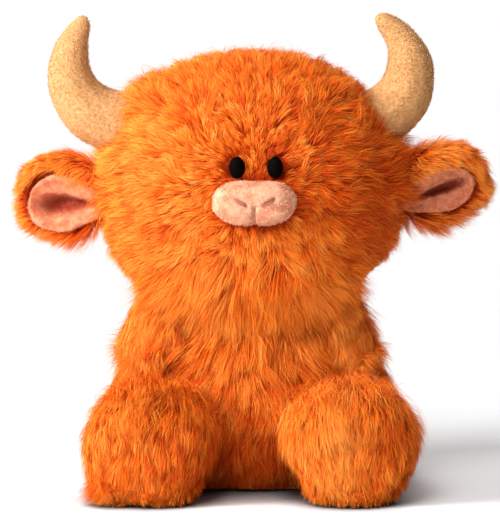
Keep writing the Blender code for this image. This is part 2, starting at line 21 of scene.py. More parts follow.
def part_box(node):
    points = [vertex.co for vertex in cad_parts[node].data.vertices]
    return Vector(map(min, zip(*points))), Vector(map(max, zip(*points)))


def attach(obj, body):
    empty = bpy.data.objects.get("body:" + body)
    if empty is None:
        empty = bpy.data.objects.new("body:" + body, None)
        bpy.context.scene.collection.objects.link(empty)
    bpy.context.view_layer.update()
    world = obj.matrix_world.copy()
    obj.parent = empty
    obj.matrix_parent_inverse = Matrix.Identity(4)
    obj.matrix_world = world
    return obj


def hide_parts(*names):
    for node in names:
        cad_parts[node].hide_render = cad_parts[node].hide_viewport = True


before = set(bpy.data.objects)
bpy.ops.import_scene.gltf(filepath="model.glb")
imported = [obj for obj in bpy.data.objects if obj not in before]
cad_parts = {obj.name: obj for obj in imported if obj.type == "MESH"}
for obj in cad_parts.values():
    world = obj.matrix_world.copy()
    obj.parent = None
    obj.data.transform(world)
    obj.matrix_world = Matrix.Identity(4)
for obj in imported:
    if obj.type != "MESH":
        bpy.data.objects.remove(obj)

LOG = logging.getLogger("plush_cow")
# The fibres' UV map.
FIBRE_MAP = "OFBake"

Colour = tuple[float, float, float]
Point = tuple[float, float, float]
Span = tuple[float, float]
Array = np.ndarray


class Side(Enum):
    """The toy's two sides, as someone who looks at its face sees them."""

    LEFT = "left"
    RIGHT = "right"

    @property
    def sign(self) -> int:
        """-1 on the left, 1 on the right."""
        return -1 if self is Side.LEFT else 1


@dataclass(frozen=True)
class Fold:
    """The long hollow down the middle of an ear: a drop that narrows towards the head.

    x and z are its middle, slope its rise over its run, inward 1 or -1 for the way to the
    head, and taper how fast it narrows, down to its narrowest share. It is pressed into what
    lies in front of y = front, over the given span of the oval, and its colour is darkened
    towards dark with painted shade over another span.
    """

    x: float
    z: float
    half_length: float
    half_height: float
    slope: float
    inward: int
    depth: float
    taper: float = 0.42
    narrowest: float = 0.12
    front: Span = (0.006, 0.011)
    pressed: Span = (0.1, 1.4)
    shaded: Span = (0.15, 1.25)
    shade_share: float = 0.9
    # The colour of the painted shade at the bottom of the hollow.
    dark: Colour = (0.30, 0.022, 0.007)


EAR_FOLDS = {
    Side.LEFT: Fold(-0.1095, 0.1678, 0.0188, 0.0100, 0.04, 1, 0.0072),
    Side.RIGHT: Fold(0.1110, 0.1770, 0.0170, 0.0056, 0.36, -1, 0.0062),
}


# Shader tools


class Signal:
    """A node socket on which Python arithmetic adds Math nodes."""

    def __init__(self, shader: "Shader", socket: bpy.types.NodeSocket) -> None:
        """Wraps one output socket of a shader's tree."""
        self.shader = shader
        self.socket = socket

    def _maths(self, operation: str, *operands: Union[float, "Signal"]) -> "Signal":
        """Adds one Math node.

        Args:
            operation: the Math node's operation.
            operands: the values or signals of its sockets.

        Returns:
            The node's result.
        """
        inputs = dict(enumerate(operands))
        return self.shader.node("ShaderNodeMath", {"operation": operation}, inputs)

    def __add__(self, other: Union[float, "Signal"]) -> "Signal":
        """Adds."""
        return self._maths("ADD", self, other)

    __radd__ = __add__

    def __mul__(self, other: Union[float, "Signal"]) -> "Signal":
        """Multiplies."""
        return self._maths("MULTIPLY", self, other)

    __rmul__ = __mul__

    def __sub__(self, other: Union[float, "Signal"]) -> "Signal":
        """Subtracts."""
        return self._maths("SUBTRACT", self, other)

    def __rsub__(self, other: Union[float, "Signal"]) -> "Signal":
        """Subtracts from a number, as in 1 - mask."""
        return self._maths("SUBTRACT", other, self)

    def between(self, low: float, high: float) -> "Signal":
        """Rises smoothly from 0 at low to 1 at high.

        Args:
            low: the value that gives 0.
            high: the value that gives 1.

        Returns:
            The smooth step.
        """
        inputs = {"Value": self, "From Min": low, "From Max": high}
        settings = {"interpolation_type": "SMOOTHSTEP"}
        return self.shader.node("ShaderNodeMapRange", settings, inputs)


class Shader:
    """Builds one material's node tree around a Principled shader."""

    def __init__(self, name: str) -> None:
        """Makes an empty material with its Principled shader.

        Args:
            name: its name.
        """
        self.material = bpy.data.materials.new(name)
        self.material.use_nodes = True
        self.tree = self.material.node_tree
        self.surface = self.tree.nodes["Principled BSDF"]

    def node(
        self,
        kind: str,
        settings: Mapping[str, Any] | None = None,
        inputs: Mapping[Any, Any] | None = None,
        output: Union[int, str] = 0,
    ) -> Signal:
        """Adds any node.

        Args:
            kind: the node's type.
            settings: its properties, set first; stops are a ramp's (place, colour) pairs.
            inputs: a value or a signal for each socket, by name or number.
            output: the socket that carries the result.

        Returns:
            The node's output.
        """
        made = self.tree.nodes.new(kind)
        for name, value in (settings or {}).items():
            if name == "stops":
                self._set_stops(made.color_ramp, value)
            else:
                setattr(made, name, value)
        for name, value in (inputs or {}).items():
            self.feed(made.inputs[name], value)
        return Signal(self, made.outputs[output])

    def feed(self, socket: bpy.types.NodeSocket, value: Any) -> None:
        """Sets a socket's value, or links a signal to it.

        Args:
            socket: the input socket.
            value: a number, a colour or a signal.
        """
        if isinstance(value, Signal):
            self.tree.links.new(value.socket, socket)
        elif isinstance(value, tuple) and len(value) == 3 and socket.type == "RGBA":
            socket.default_value = (*value, 1.0)
        else:
            socket.default_value = value

    def _set_stops(self, ramp: bpy.types.ColorRamp, stops: Sequence[tuple[float, Colour]]) -> None:
        """Gives a ramp its stops.

        Args:
            ramp: the ramp.
            stops: pairs of place and colour.
        """
        while len(ramp.elements) < len(stops):
            ramp.elements.new(1.0)
        for element, (place, colour) in zip(ramp.elements, stops):
            element.position = place
            element.color = (*colour, 1.0)

    def ramp(self, factor: Signal, stops: Sequence[tuple[float, Colour]]) -> Signal:
        """A colour that follows a factor through a ramp's stops."""
        return self.node("ShaderNodeValToRGB", {"stops": stops}, {"Fac": factor}, "Color")

    def mix(self, factor: Any, first: Any, second: Any, blend: str = "MIX") -> Signal:
        """Mixes two colours.

        Args:
            factor: how much of the second colour shows.
            first: the first colour or signal.
            second: the second colour or signal.
            blend: the Mix node's blend type.

        Returns:
            The mixed colour.
        """
        settings = {"data_type": "RGBA", "blend_type": blend}
        return self.node("ShaderNodeMix", settings, {0: factor, 6: first, 7: second}, 2)

    def place(self) -> Signal:
        """The point of the piece that is shaded, in metres."""
        return self.node("ShaderNodeTexCoord", output="Object")

    def noise(self, scale: float, detail: float = 2.0, rough: float = 0.5) -> Signal:
        """Soft noise over the piece.

        Args:
            scale: how many lumps there are in a metre.
            detail: how many finer layers it has.
            rough: how strong the finer layers are.

        Returns:
            The noise, about 0.5 on average.
        """
        inputs = {"Vector": self.place(), "Scale": scale, "Detail": detail, "Roughness": rough}
        return self.node("ShaderNodeTexNoise", {}, inputs, 0)

    def folded(self, fold: Fold) -> Signal:
        """1 at the bottom of an ear's hollow, falling to 0 round it: the mask of its painted shade.

        Args:
            fold: the hollow.

        Returns:
            How deep in the hollow each place lies.
        """
        point = self.place()
        x = self.node("ShaderNodeSeparateXYZ", {}, {0: point}, 0) - fold.x
        z = self.node("ShaderNodeSeparateXYZ", {}, {0: point}, 2) - fold.z
        along = x * (fold.inward / fold.half_length)
        narrow = 1 - (along + 1) * fold.taper
        across = (z - x * fold.slope) * (1 / fold.half_height) * self.over(narrow, fold.narrowest)
        return 1 - (along * along + across * across).between(*fold.shaded)

    def over(self, value: Signal, least: float) -> Signal:
        """One over a value, which counts as the least where it is lower."""
        held = self.node("ShaderNodeMath", {"operation": "MAXIMUM"}, {0: value, 1: least})
        return self.node("ShaderNodeMath", {"operation": "DIVIDE"}, {0: 1.0, 1: held})

    def paint_hollow_shade(self, colour: Signal, fold: Fold | None) -> Signal:
        """Darkens a colour with painted shade in an ear's hollow, where the piece has one.

        Args:
            colour: the plain colour.
            fold: the hollow.

        Returns:
            The colour with the hollow's painted shade.
        """
        if not fold:
            return colour
        # Painted shade: the colour is mixed towards the fold's dark colour, most at the hollow's bottom.
        return self.mix(self.folded(fold) * fold.shade_share, colour, fold.dark)

    def fibre_chart(self) -> tuple[Signal, Signal]:
        """A fibre's tone, and the share of the way along it from root to tip.

        Returns:
            The two signals.
        """
        chart = self.node("ShaderNodeUVMap", {"uv_map": FIBRE_MAP})
        tone = self.node("ShaderNodeSeparateXYZ", {}, {0: chart}, 0)
        return tone, self.node("ShaderNodeSeparateXYZ", {}, {0: chart}, 1)

    def bump(self, height: Signal, distance: float) -> Signal:
        """A relief whose heights are in metres times distance."""
        return self.node("ShaderNodeBump", {}, {"Height": height, "Distance": distance, "Strength": 1.0})

    def dress(self, **sockets: Any) -> bpy.types.Material:
        """Feeds the Principled shader, a word for a space in each socket's name.

        Args:
            sockets: values or signals by socket name, with _ for each space.

        Returns:
            The finished material.
        """
        for name, value in sockets.items():
            self.feed(self.surface.inputs[name.replace("_", " ")], value)
        return self.material


# Finishes


@dataclass(frozen=True)
class FurFinish:
    """Long fur: each fibre's colour runs from its root to its tip and differs in tone."""

    name: str = "orange_fur"
    # The dark root is partly the fibre's own colour and partly painted shade of the deep fur.
    root: Colour = (0.32, 0.010, 0.0004)
    middle: Colour = (0.84, 0.095, 0.002)
    outer: Colour = (1.0, 0.225, 0.010)
    tip: Colour = (1.0, 0.335, 0.038)
    # Low tones, from chance or from the flows' painted shade, draw a fibre towards deep_tone; high tones,
    # from chance or their painted light, draw its tip towards light_tone.
    deep_tone: Colour = (0.54, 0.032, 0.0008)
    light_tone: Colour = (1.0, 0.450, 0.082)
    middle_at: float = 0.35
    outer_at: float = 0.72
    deep_below: float = 0.45
    light_above: float = 0.62
    tone_share: float = 0.75
    roughness: float = 0.62

    def material(self) -> bpy.types.Material:
        """Builds the fur's material.

        Returns:
            The material.
        """
        shader = Shader(self.name)
        tone, along = shader.fibre_chart()
        places = (0.0, self.middle_at, self.outer_at, 1.0)
        colours = (self.root, self.middle, self.outer, self.tip)
        fibre = shader.ramp(along, tuple(zip(places, colours)))
        # Painted shade and painted light reach the colour here through the tone.
        share = (1 - tone.between(0.0, self.deep_below)) * self.tone_share
        deep = shader.mix(share, fibre, self.deep_tone)
        share = tone.between(self.light_above, 1.0) * along * self.tone_share
        light = shader.mix(share, deep, self.light_tone)
        return shader.dress(
            Base_Color=light,
            Roughness=self.roughness,
            Specular_IOR_Level=0.12,
        )


@dataclass(frozen=True)
class UnderfurFinish:
    """The dense under-fur and backing that show between the long fibres, dark partly as painted shade in
    the gaps.
    """

    name: str = "underfur"
    # Partly painted shade: the gaps between the fibres show this dark colour.
    dark: Colour = (0.24, 0.010, 0.0005)
    light: Colour = (0.62, 0.060, 0.002)
    fibre_scale: float = 1400.0
    tuft_scale: float = 160.0
    relief: float = 0.0012

    def material(self) -> bpy.types.Material:
        """Builds the under-fur's material.

        Returns:
            The material.
        """
        shader = Shader(self.name)
        fibres = shader.noise(self.fibre_scale, 3.0, 0.65)
        tufts = shader.noise(self.tuft_scale, 2.0)
        colour = shader.mix((fibres * 0.65 + tufts * 0.35).between(0.35, 0.65), self.dark, self.light)
        rough = fibres * 0.2 + 0.75
        relief = shader.bump(fibres + tufts, self.relief)
        return shader.dress(Base_Color=colour, Roughness=rough, Normal=relief, Specular_IOR_Level=0.1)


@dataclass(frozen=True)
class PlushFinish:
    """Short-pile plush cloth, lighter and darker in random patches: a painted sheen of the nap catching the
    light.
    """

    name: str
    shade: Colour
    body: Colour
    bright: Colour
    nap_scale: float = 220.0
    pile_scale: float = 3200.0
    relief: float = 0.0005
    sheen: float = 0.25
    fold: Fold | None = None

    def material(self) -> bpy.types.Material:
        """Builds the cloth's material.

        Returns:
            The material.
        """
        shader = Shader(self.name)
        nap = shader.noise(self.nap_scale, 3.0, 0.6)
        pile = shader.noise(self.pile_scale, 2.0, 0.7)
        # Painted sheen of the nap: random patches run from shade through body to bright.
        nap_sheen = shader.mix(nap.between(0.34, 0.60), self.shade, self.body)
        colour = shader.mix((nap * 0.55 + pile * 0.45).between(0.50, 0.68), nap_sheen, self.bright)
        # Painted shade in an ear's hollow, where the piece has one.
        colour = shader.paint_hollow_shade(colour, self.fold)
        rough = 0.92 - pile * 0.18
        relief = shader.bump(pile + nap * 0.6, self.relief)
        return shader.dress(
            Base_Color=colour,
            Roughness=rough,
            Normal=relief,
            Specular_IOR_Level=0.2,
            Sheen_Weight=self.sheen,
            Sheen_Roughness=0.45,
            Sheen_Tint=(*self.bright, 1.0),
        )


@dataclass(frozen=True)
class PileFinish:
    """The upright fibres of a short pile, darker at their roots."""

    name: str
    root: Colour
    tip: Colour
    fold: Fold | None = None

    def material(self) -> bpy.types.Material:
        """Builds the pile's material.

        Returns:
            The material.
        """
        shader = Shader(self.name)
        tone, along = shader.fibre_chart()
        factor = (along * 0.6 + tone * 0.4).between(0.05, 0.85)
        colour = shader.mix(factor, self.root, self.tip)
        # Painted shade in an ear's hollow, where the piece has one.
        colour = shader.paint_hollow_shade(colour, self.fold)
        return shader.dress(
            Base_Color=colour,
            Roughness=0.8,
            Specular_IOR_Level=0.15,
        )


@dataclass(frozen=True)
class EyeFinish:
    """Black moulded plastic with fine moulding texture and a few scuffs."""

    name: str = "eye_plastic"
    colour: Colour = (0.0022, 0.0010, 0.0010)
    dust: Colour = (0.0080, 0.0040, 0.0034)
    scuff_scale: float = 900.0
    grain_scale: float = 5200.0
    relief: float = 0.00006

    def material(self) -> bpy.types.Material:
        """Builds the eye's material.

        Returns:
            The material.
        """
        shader = Shader(self.name)
        scuffs = shader.noise(self.scuff_scale, 4.0, 0.7).between(0.55, 0.80)
        grain = shader.noise(self.grain_scale, 2.0)
        colour = shader.mix(scuffs * 0.35, self.colour, self.dust)
        rough = scuffs * 0.14 + grain * 0.08 + 0.62
        return shader.dress(
            Base_Color=colour,
            Roughness=rough,
            Normal=shader.bump(grain, self.relief),
            Specular_IOR_Level=0.02,
        )


@dataclass(frozen=True)
class ThreadFinish:
    """Satin-stitched embroidery thread with its twist."""

    name: str = "nostril_thread"
    shade: Colour = (0.26, 0.030, 0.016)
    light: Colour = (0.66, 0.220, 0.135)
    twist_scale: float = 900.0
    fibre_scale: float = 6000.0
    relief: float = 0.00012

    def material(self) -> bpy.types.Material:
        """Builds the thread's material.

        Returns:
            The material.
        """
        shader = Shader(self.name)
        settings = {"wave_type": "BANDS", "bands_direction": "DIAGONAL"}
        inputs = {"Vector": shader.place(), "Scale": self.twist_scale, "Distortion": 1.5, "Detail": 1.0}
        twist = shader.node("ShaderNodeTexWave", settings, inputs, "Fac")
        fibre = shader.noise(self.fibre_scale, 2.0)
        colour = shader.mix((twist * 0.6 + fibre * 0.4).between(0.25, 0.75), self.shade, self.light)
        return shader.dress(
            Base_Color=colour,
            Roughness=0.62 - twist * 0.2,
            Normal=shader.bump(twist + fibre * 0.4, self.relief),
            Sheen_Weight=0.15,
        )


@dataclass(frozen=True)
class WovenFinish:
    """Plain woven cloth: two crossing sets of threads with slubs."""

    name: str
    shade: Colour
    light: Colour
    thread_scale: float = 343.75
    slub_scale: float = 260.0
    relief: float = 0.0003

    def material(self) -> bpy.types.Material:
        """Builds the cloth's material.

        Returns:
            The material.
        """
        shader = Shader(self.name)
        bands = []
        for direction in ("X", "Y"):
            settings = {"wave_type": "BANDS", "bands_direction": direction}
            inputs = {"Vector": shader.place(), "Scale": self.thread_scale, "Distortion": 0.6}
            bands.append(shader.node("ShaderNodeTexWave", settings, inputs, "Fac"))
        weave = bands[0] * 0.5 + bands[1] * 0.5
        slubs = shader.noise(self.slub_scale, 3.0)
        colour = shader.mix((weave * 0.6 + slubs * 0.4).between(0.2, 0.8), self.shade, self.light)
        return shader.dress(
            Base_Color=colour,
            Roughness=0.9 - weave * 0.12,
            Normal=shader.bump(weave, self.relief),
            Specular_IOR_Level=0.2,
        )


@dataclass(frozen=True)
class MouldedFinish:
    """Pale moulded plastic of a lock washer, with flow marks."""

    name: str = "washer_plastic"
    shade: Colour = (0.62, 0.62, 0.59)
    light: Colour = (0.80, 0.80, 0.77)
    flow_scale: float = 420.0
    grain_scale: float = 4000.0
    relief: float = 0.00008

    def material(self) -> bpy.types.Material:
        """Builds the plastic's material.

        Returns:
            The material.
        """
        shader = Shader(self.name)
        flow = shader.noise(self.flow_scale, 3.0)
        grain = shader.noise(self.grain_scale, 2.0)
        return shader.dress(
            Base_Color=shader.mix(flow.between(0.3, 0.7), self.shade, self.light),
            Roughness=flow * 0.15 + grain * 0.1 + 0.35,
            Normal=shader.bump(grain, self.relief),
        )


@dataclass(frozen=True)
class FloorFinish:
    """A matt white floor that keeps the toy's shadow, with a painted contact shadow next to the toy."""

    name: str = "white_floor"
    colour: Colour = (0.90, 0.90, 0.90)
    grain: Colour = (0.80, 0.80, 0.80)
    # The colour of the painted contact shadow.
    contact_shadow_colour: Colour = (0.05, 0.05, 0.05)
    lift: float = 0.28
    contact: float = 0.25
    under: float = 0.060
    clear: float = 0.160
    near: float = 0.22
    far: float = 0.75
    contact_shadow_reach: float = 0.045

    def material(self) -> bpy.types.Material:
        """Builds the floor's material, a little lighter to the camera than to the toy.

        Returns:
            The material.
        """
        shader = Shader(self.name)
        grain = shader.noise(30.0, 2.0)
        tint = shader.mix(grain * 0.02, self.colour, self.grain)
        # Painted contact shadow: ambient occlusion darkens the floor's colour next to the toy and takes
        # away its glow there.
        inputs = {"Distance": self.contact_shadow_reach}
        openness = shader.node("ShaderNodeAmbientOcclusion", {"samples": 8}, inputs, "AO")
        clear = openness.between(0.15, 0.85)
        colour = shader.mix(clear, self.contact_shadow_colour, tint)
        shader.dress(Base_Color=colour, Roughness=0.9, Specular_IOR_Level=0.0)
        seen = shader.node("ShaderNodeLightPath", output="Is Camera Ray")
        reach = shader.node("ShaderNodeVectorMath", {"operation": "LENGTH"}, {0: shader.place()}, "Value")
        touch = reach.between(self.under, self.clear) * (1 - self.contact) + self.contact
        share = reach.between(self.near, self.far) * (1 - self.lift) + touch * self.lift
        glow = shader.node("ShaderNodeEmission", {}, {"Color": (1.0, 1.0, 1.0), "Strength": 1.0})
        surface = Signal(shader, shader.surface.outputs[0])
        mixed = shader.node("ShaderNodeMixShader", {}, {0: seen * share * clear, 1: surface, 2: glow})
        shader.tree.links.new(mixed.socket, shader.tree.nodes["Material Output"].inputs["Surface"])
        return shader.material


class Finishes:
    """Every finish of the toy, each built once."""

    def __init__(self) -> None:
        """Builds the materials."""
        self.fur = FurFinish().material()
        self.underfur = UnderfurFinish().material()
        self.horn = PlushFinish(
            "horn_plush", (0.60, 0.29, 0.105), (0.70, 0.365, 0.146), (0.77, 0.43, 0.182), 520.0
        ).material()
        self.horn_pile = PileFinish("horn_pile", (0.56, 0.265, 0.092), (0.81, 0.475, 0.212)).material()
        self.skin = PlushFinish(
            "skin_plush", (0.70, 0.22, 0.11), (0.90, 0.44, 0.26), (0.98, 0.64, 0.43), 95.0
        ).material()
        self.skin_pile = PileFinish("skin_pile", (0.76, 0.31, 0.18), (0.95, 0.60, 0.40)).material()
        self.lining = {
            side: PlushFinish(
                side.value + "_lining_plush", (0.66, 0.18, 0.082), (0.83, 0.285, 0.138),
                (0.93, 0.42, 0.255), 200.0, fold=fold,
            ).material()
            for side, fold in EAR_FOLDS.items()
        }
        self.lining_pile = {
            side: PileFinish(
                side.value + "_lining_pile", (0.72, 0.19, 0.082), (0.95, 0.42, 0.250), fold
            ).material()
            for side, fold in EAR_FOLDS.items()
        }
        self.eye = EyeFinish().material()
        self.thread = ThreadFinish().material()
        self.seat = WovenFinish("seat_cloth", (0.36, 0.055, 0.006), (0.62, 0.130, 0.014)).material()
        self.bag = WovenFinish("bag_cloth", (0.55, 0.52, 0.45), (0.76, 0.74, 0.68)).material()
        self.washer = MouldedFinish().material()


# Mesh tools


def unit(vectors: Array) -> Array:
    """Vectors of length 1."""
    return vectors / np.maximum(np.linalg.norm(vectors, axis=-1, keepdims=True), 1e-9)


def tangent(vectors: Array, normals: Array) -> Array:
    """The vectors laid on the surfaces that have these normals, at length 1."""
    return unit(vectors - normals * np.sum(vectors * normals, axis=-1, keepdims=True))


def smooth_step(values: Array, low: float, high: float) -> Array:
    """Rises smoothly from 0 at low to 1 at high."""
    share = np.clip((values - low) / (high - low), 0.0, 1.0)
    return share * share * (3.0 - 2.0 * share)


def ripple(points: Array, size: float, seed: int) -> Array:
    """Smooth noise between about -1 and 1.

    Args:
        points: where it is read.
        size: the size of its lumps in metres.
        seed: which noise it is.

    Returns:
        One value for each point.
    """
    rng = np.random.default_rng(seed)
    total = np.zeros(len(points))
    for _ in range(9):
        wave = rng.normal(size=3) * (2.2 / size)
        total += np.sin(points @ wave + rng.uniform(0.0, 2 * math.pi))
    return total / 4.0


def vertex_vectors(mesh: bpy.types.Mesh, kind: str) -> Array:
    """The place, as co, or the normal of each vertex of a mesh.

    Args:
        mesh: the mesh.
        kind: co for the places, normal for the normals.

    Returns:
        One vector for each vertex.
    """
    values = np.empty(len(mesh.vertices) * 3, np.float32)
    mesh.vertices.foreach_get(kind, values)
    return values.reshape(-1, 3).astype(float)


def move_vertices(mesh: bpy.types.Mesh, places: Array) -> None:
    """Moves a mesh's vertices to these places."""
    mesh.vertices.foreach_set("co", places.astype(np.float32).ravel())
    mesh.update()


def new_object(name: str, mesh: bpy.types.Mesh) -> bpy.types.Object:
    """Links a mesh to the scene as an object.

    Args:
        name: its name.
        mesh: its mesh.

    Returns:
        The object.
    """
    made = bpy.data.objects.new(name, mesh)
    bpy.context.scene.collection.objects.link(made)
    return made


def mesh_from(name: str, points: Array, faces: Sequence[Sequence[int]]) -> bpy.types.Mesh:
    """A smooth mesh from points and faces.

    Args:
        name: its name.
        points: the places of its vertices.
        faces: the corners of each face.

    Returns:
        The mesh.
    """
    mesh = bpy.data.meshes.new(name)
    mesh.from_pydata([tuple(point) for point in points], [], [tuple(face) for face in faces])
    mesh.shade_smooth()
    return mesh


def ring_faces(rings: int, count: int, start: int = 0) -> list[tuple[int, ...]]:
    """The faces between rings of points.

    Args:
        rings: how many rings there are.
        count: how many points each has.
        start: the number of the first ring's first point.

    Returns:
        Four corners for each face.
    """
    faces = []
    for step in range(rings - 1):
        for turn in range(count):
            after = (turn + 1) % count
            low, high = start + step * count, start + (step + 1) * count
            faces.append((low + turn, low + after, high + after, high + turn))
    return faces


def ring_mesh(name: str, rings: Sequence[Array]) -> bpy.types.Mesh:
    """A skin over rings of equally many points, with a fan over each end.

    Args:
        name: the mesh's name.
        rings: the rings in order along the piece.

    Returns:
        The mesh.
    """
    count = len(rings[0])
    points = list(np.concatenate(rings))
    faces = ring_faces(len(rings), count)
    for ring, start in ((rings[0], 0), (rings[-1], (len(rings) - 1) * count)):
        points.append(ring.mean(axis=0))
        middle = len(points) - 1
        for turn in range(count):
            after = (turn + 1) % count
            fan = (middle, start + after, start + turn)
            faces.append(fan if start == 0 else fan[::-1])
    return mesh_from(name, np.array(points), faces)


class Skin:
    """A stuffed piece's cloth: a node's form, evened out and smoothed."""

    def __init__(self, name: str, node: str, voxel: float, rounds: int, inset: float) -> None:
        """Copies a CAD node's form into a cloth of its own.

        Args:
            name: the piece's name.
            node: the CAD node whose form it takes.
            voxel: the size of the new faces in metres.
            rounds: how often it is smoothed.
            inset: how far it lies inside the node's surface.
        """
        self.thing = new_object(name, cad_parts[node].data.copy())
        self.thing.data.materials.clear()
        remesh = self.thing.modifiers.new("even", "REMESH")
        remesh.mode = "VOXEL"
        remesh.voxel_size = voxel
        smooth = self.thing.modifiers.new("smooth", "SMOOTH")
        smooth.factor = 0.5
        smooth.iterations = rounds
        shrink = self.thing.modifiers.new("inset", "DISPLACE")
        shrink.strength = -inset
        shrink.mid_level = 0.0
        self.apply()

    def apply(self) -> None:
        """Applies the modifiers."""
        ready = self.thing.evaluated_get(bpy.context.evaluated_depsgraph_get())
        mesh = bpy.data.meshes.new_from_object(ready)
        mesh.name = self.thing.name
        self.thing.modifiers.clear()
        self.thing.data = mesh
        mesh.shade_smooth()

    def roots(self, count: int, rng: np.random.Generator) -> tuple[Array, Array]:
        """Scatters fibre roots evenly over the cloth.

        Args:
            count: how many roots.
            rng: the source of chance.

        Returns:
            The roots and the cloth's normals there.
        """
        mesh = self.thing.data
        mesh.calc_loop_triangles()
        corners = np.empty(len(mesh.loop_triangles) * 3, np.int32)
        mesh.loop_triangles.foreach_get("vertices", corners)
        corners = corners.reshape(-1, 3)
        places, normals = vertex_vectors(mesh, "co"), vertex_vectors(mesh, "normal")
        a, b, c = (places[corners[:, column]] for column in range(3))
        areas = np.linalg.norm(np.cross(b - a, c - a), axis=1)
        chosen = rng.choice(len(areas), size=count, p=areas / areas.sum())
        first = np.sqrt(rng.uniform(size=(count, 1)))
        second = rng.uniform(size=(count, 1))
        shares = (1 - first, first * (1 - second), first * second)
        picked = corners[chosen]
        roots = sum(share * places[picked[:, column]] for column, share in enumerate(shares))
        leans = sum(share * normals[picked[:, column]] for column, share in enumerate(shares))
        return roots, unit(leans)


class Neighbours:
    """The CAD nodes that lie against a piece and leave no room for fibres."""

    def __init__(self, own: Sequence[str], reach: float) -> None:
        """Collects every node but the piece's own.

        Args:
            own: the nodes that the piece stands for.
            reach: how near a neighbour stops a fibre, in metres.
        """
        self.reach = reach
        points, faces = [], []
        for name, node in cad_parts.items():
            if name in own or "washer" in name or "pellet" in name:
                continue
            first = len(points)
            points += [vertex.co.copy() for vertex in node.data.vertices]
            faces += [[first + corner for corner in face.vertices] for face in node.data.polygons]
        self.tree = BVHTree.FromPolygons(points, faces)

    def leave_room(self, roots: Array, normals: Array) -> Array:
        """Which roots have no neighbour close over them.

        Args:
            roots: the fibres' roots.
            normals: the cloth's normals there.

        Returns:
            True for each root that is free.
        """
        cast, reach = self.tree.ray_cast, self.reach
        pairs = zip(roots.tolist(), normals.tolist())
        return np.array([cast(root, normal, reach)[0] is None for root, normal in pairs], bool)


# Fur


@dataclass(frozen=True)
class Patch:
    """A soft oval on the front whose fur is deeper in tone as painted shade, or lighter as painted light
    where depth is below 0.
    """

    x: float
    z: float
    half_width: float
    half_height: float
    depth: float


class Flow:
    """How the fur is combed. A piece's own flow says where its fibres point and how long."""

    patches: tuple[Patch, ...] = ()

    def headings(self, points: Array, normals: Array) -> Array:
        """The way the fibres point, not yet laid on the surface."""
        return np.tile(np.array((0.0, 0.0, -1.0)), (len(points), 1))

    def lengths(self, points: Array, normals: Array) -> Array:
        """Each fibre's length as a share of the coat's."""
        return np.ones(len(points))

    def lifts(self, points: Array, normals: Array) -> Array:
        """How much steeper than the coat's each fibre stands."""
        return np.ones(len(points))

    def keeps(self, points: Array, normals: Array) -> Array:
        """Which roots grow a fibre at all."""
        return np.ones(len(points), bool)

    def shades(self, points: Array) -> Array:
        """How much deeper than the coat's each fibre's tone is, by the patches' painted shade and light.

        Args:
            points: the fibres' roots.

        Returns:
            One share for each root.
        """
        total = np.zeros(len(points))
        front = 1 - smooth_step(points[:, 1], 0.0, 0.02)
        for patch in self.patches:
            across = (points[:, 0] - patch.x) / patch.half_width
            up = (points[:, 2] - patch.z) / patch.half_height
            total += patch.depth * np.exp(-(across**2) - up**2) * front
        return total


@dataclass(frozen=True)
class Coat:
    """How one piece's fur grows: counts, sizes in metres, and its lie."""

    strands: int
    length: float = 0.018
    width: float = 0.00031
    root_lift_deg: float = 55.0
    tip_lift_deg: float = 4.0
    droop: float = 0.08
    hang: float = 1.5
    clump_strands: int = 13
    clump_pull: float = 0.44
    stray_share: float = 0.28
    stray_growth: float = 1.14
    turn_deg: float = 20.0
    steps: int = 3
    hugging_radius: float = 0.085
    floor: float = 0.0007
    floor_scatter: float = 0.0008
    steepest: float = 1.45
    fibre_turn_deg: float = 13.0
    clump_sizes: Span = (0.66, 1.22)
    fibre_sizes: Span = (0.78, 1.10)
    clump_lifts: Span = (0.65, 1.30)
    fibre_lifts: Span = (0.85, 1.18)
    fibre_pulls: Span = (0.55, 1.15)
    fibre_widths: Span = (0.65, 1.25)
    tone_scatter: float = 0.28
    stray_pull: float = 0.15
    stray_width: float = 0.6
    swirl_size: float = 0.016
    blotch_size: float = 0.026
    blotch_tone: float = 0.12
    seed: int = 1


@dataclass
class Fibres:
    """The centre lines of a coat's fibres and what each fibre needs to be drawn."""

    lines: Array
    normals: Array
    widths: Array
    tones: Array


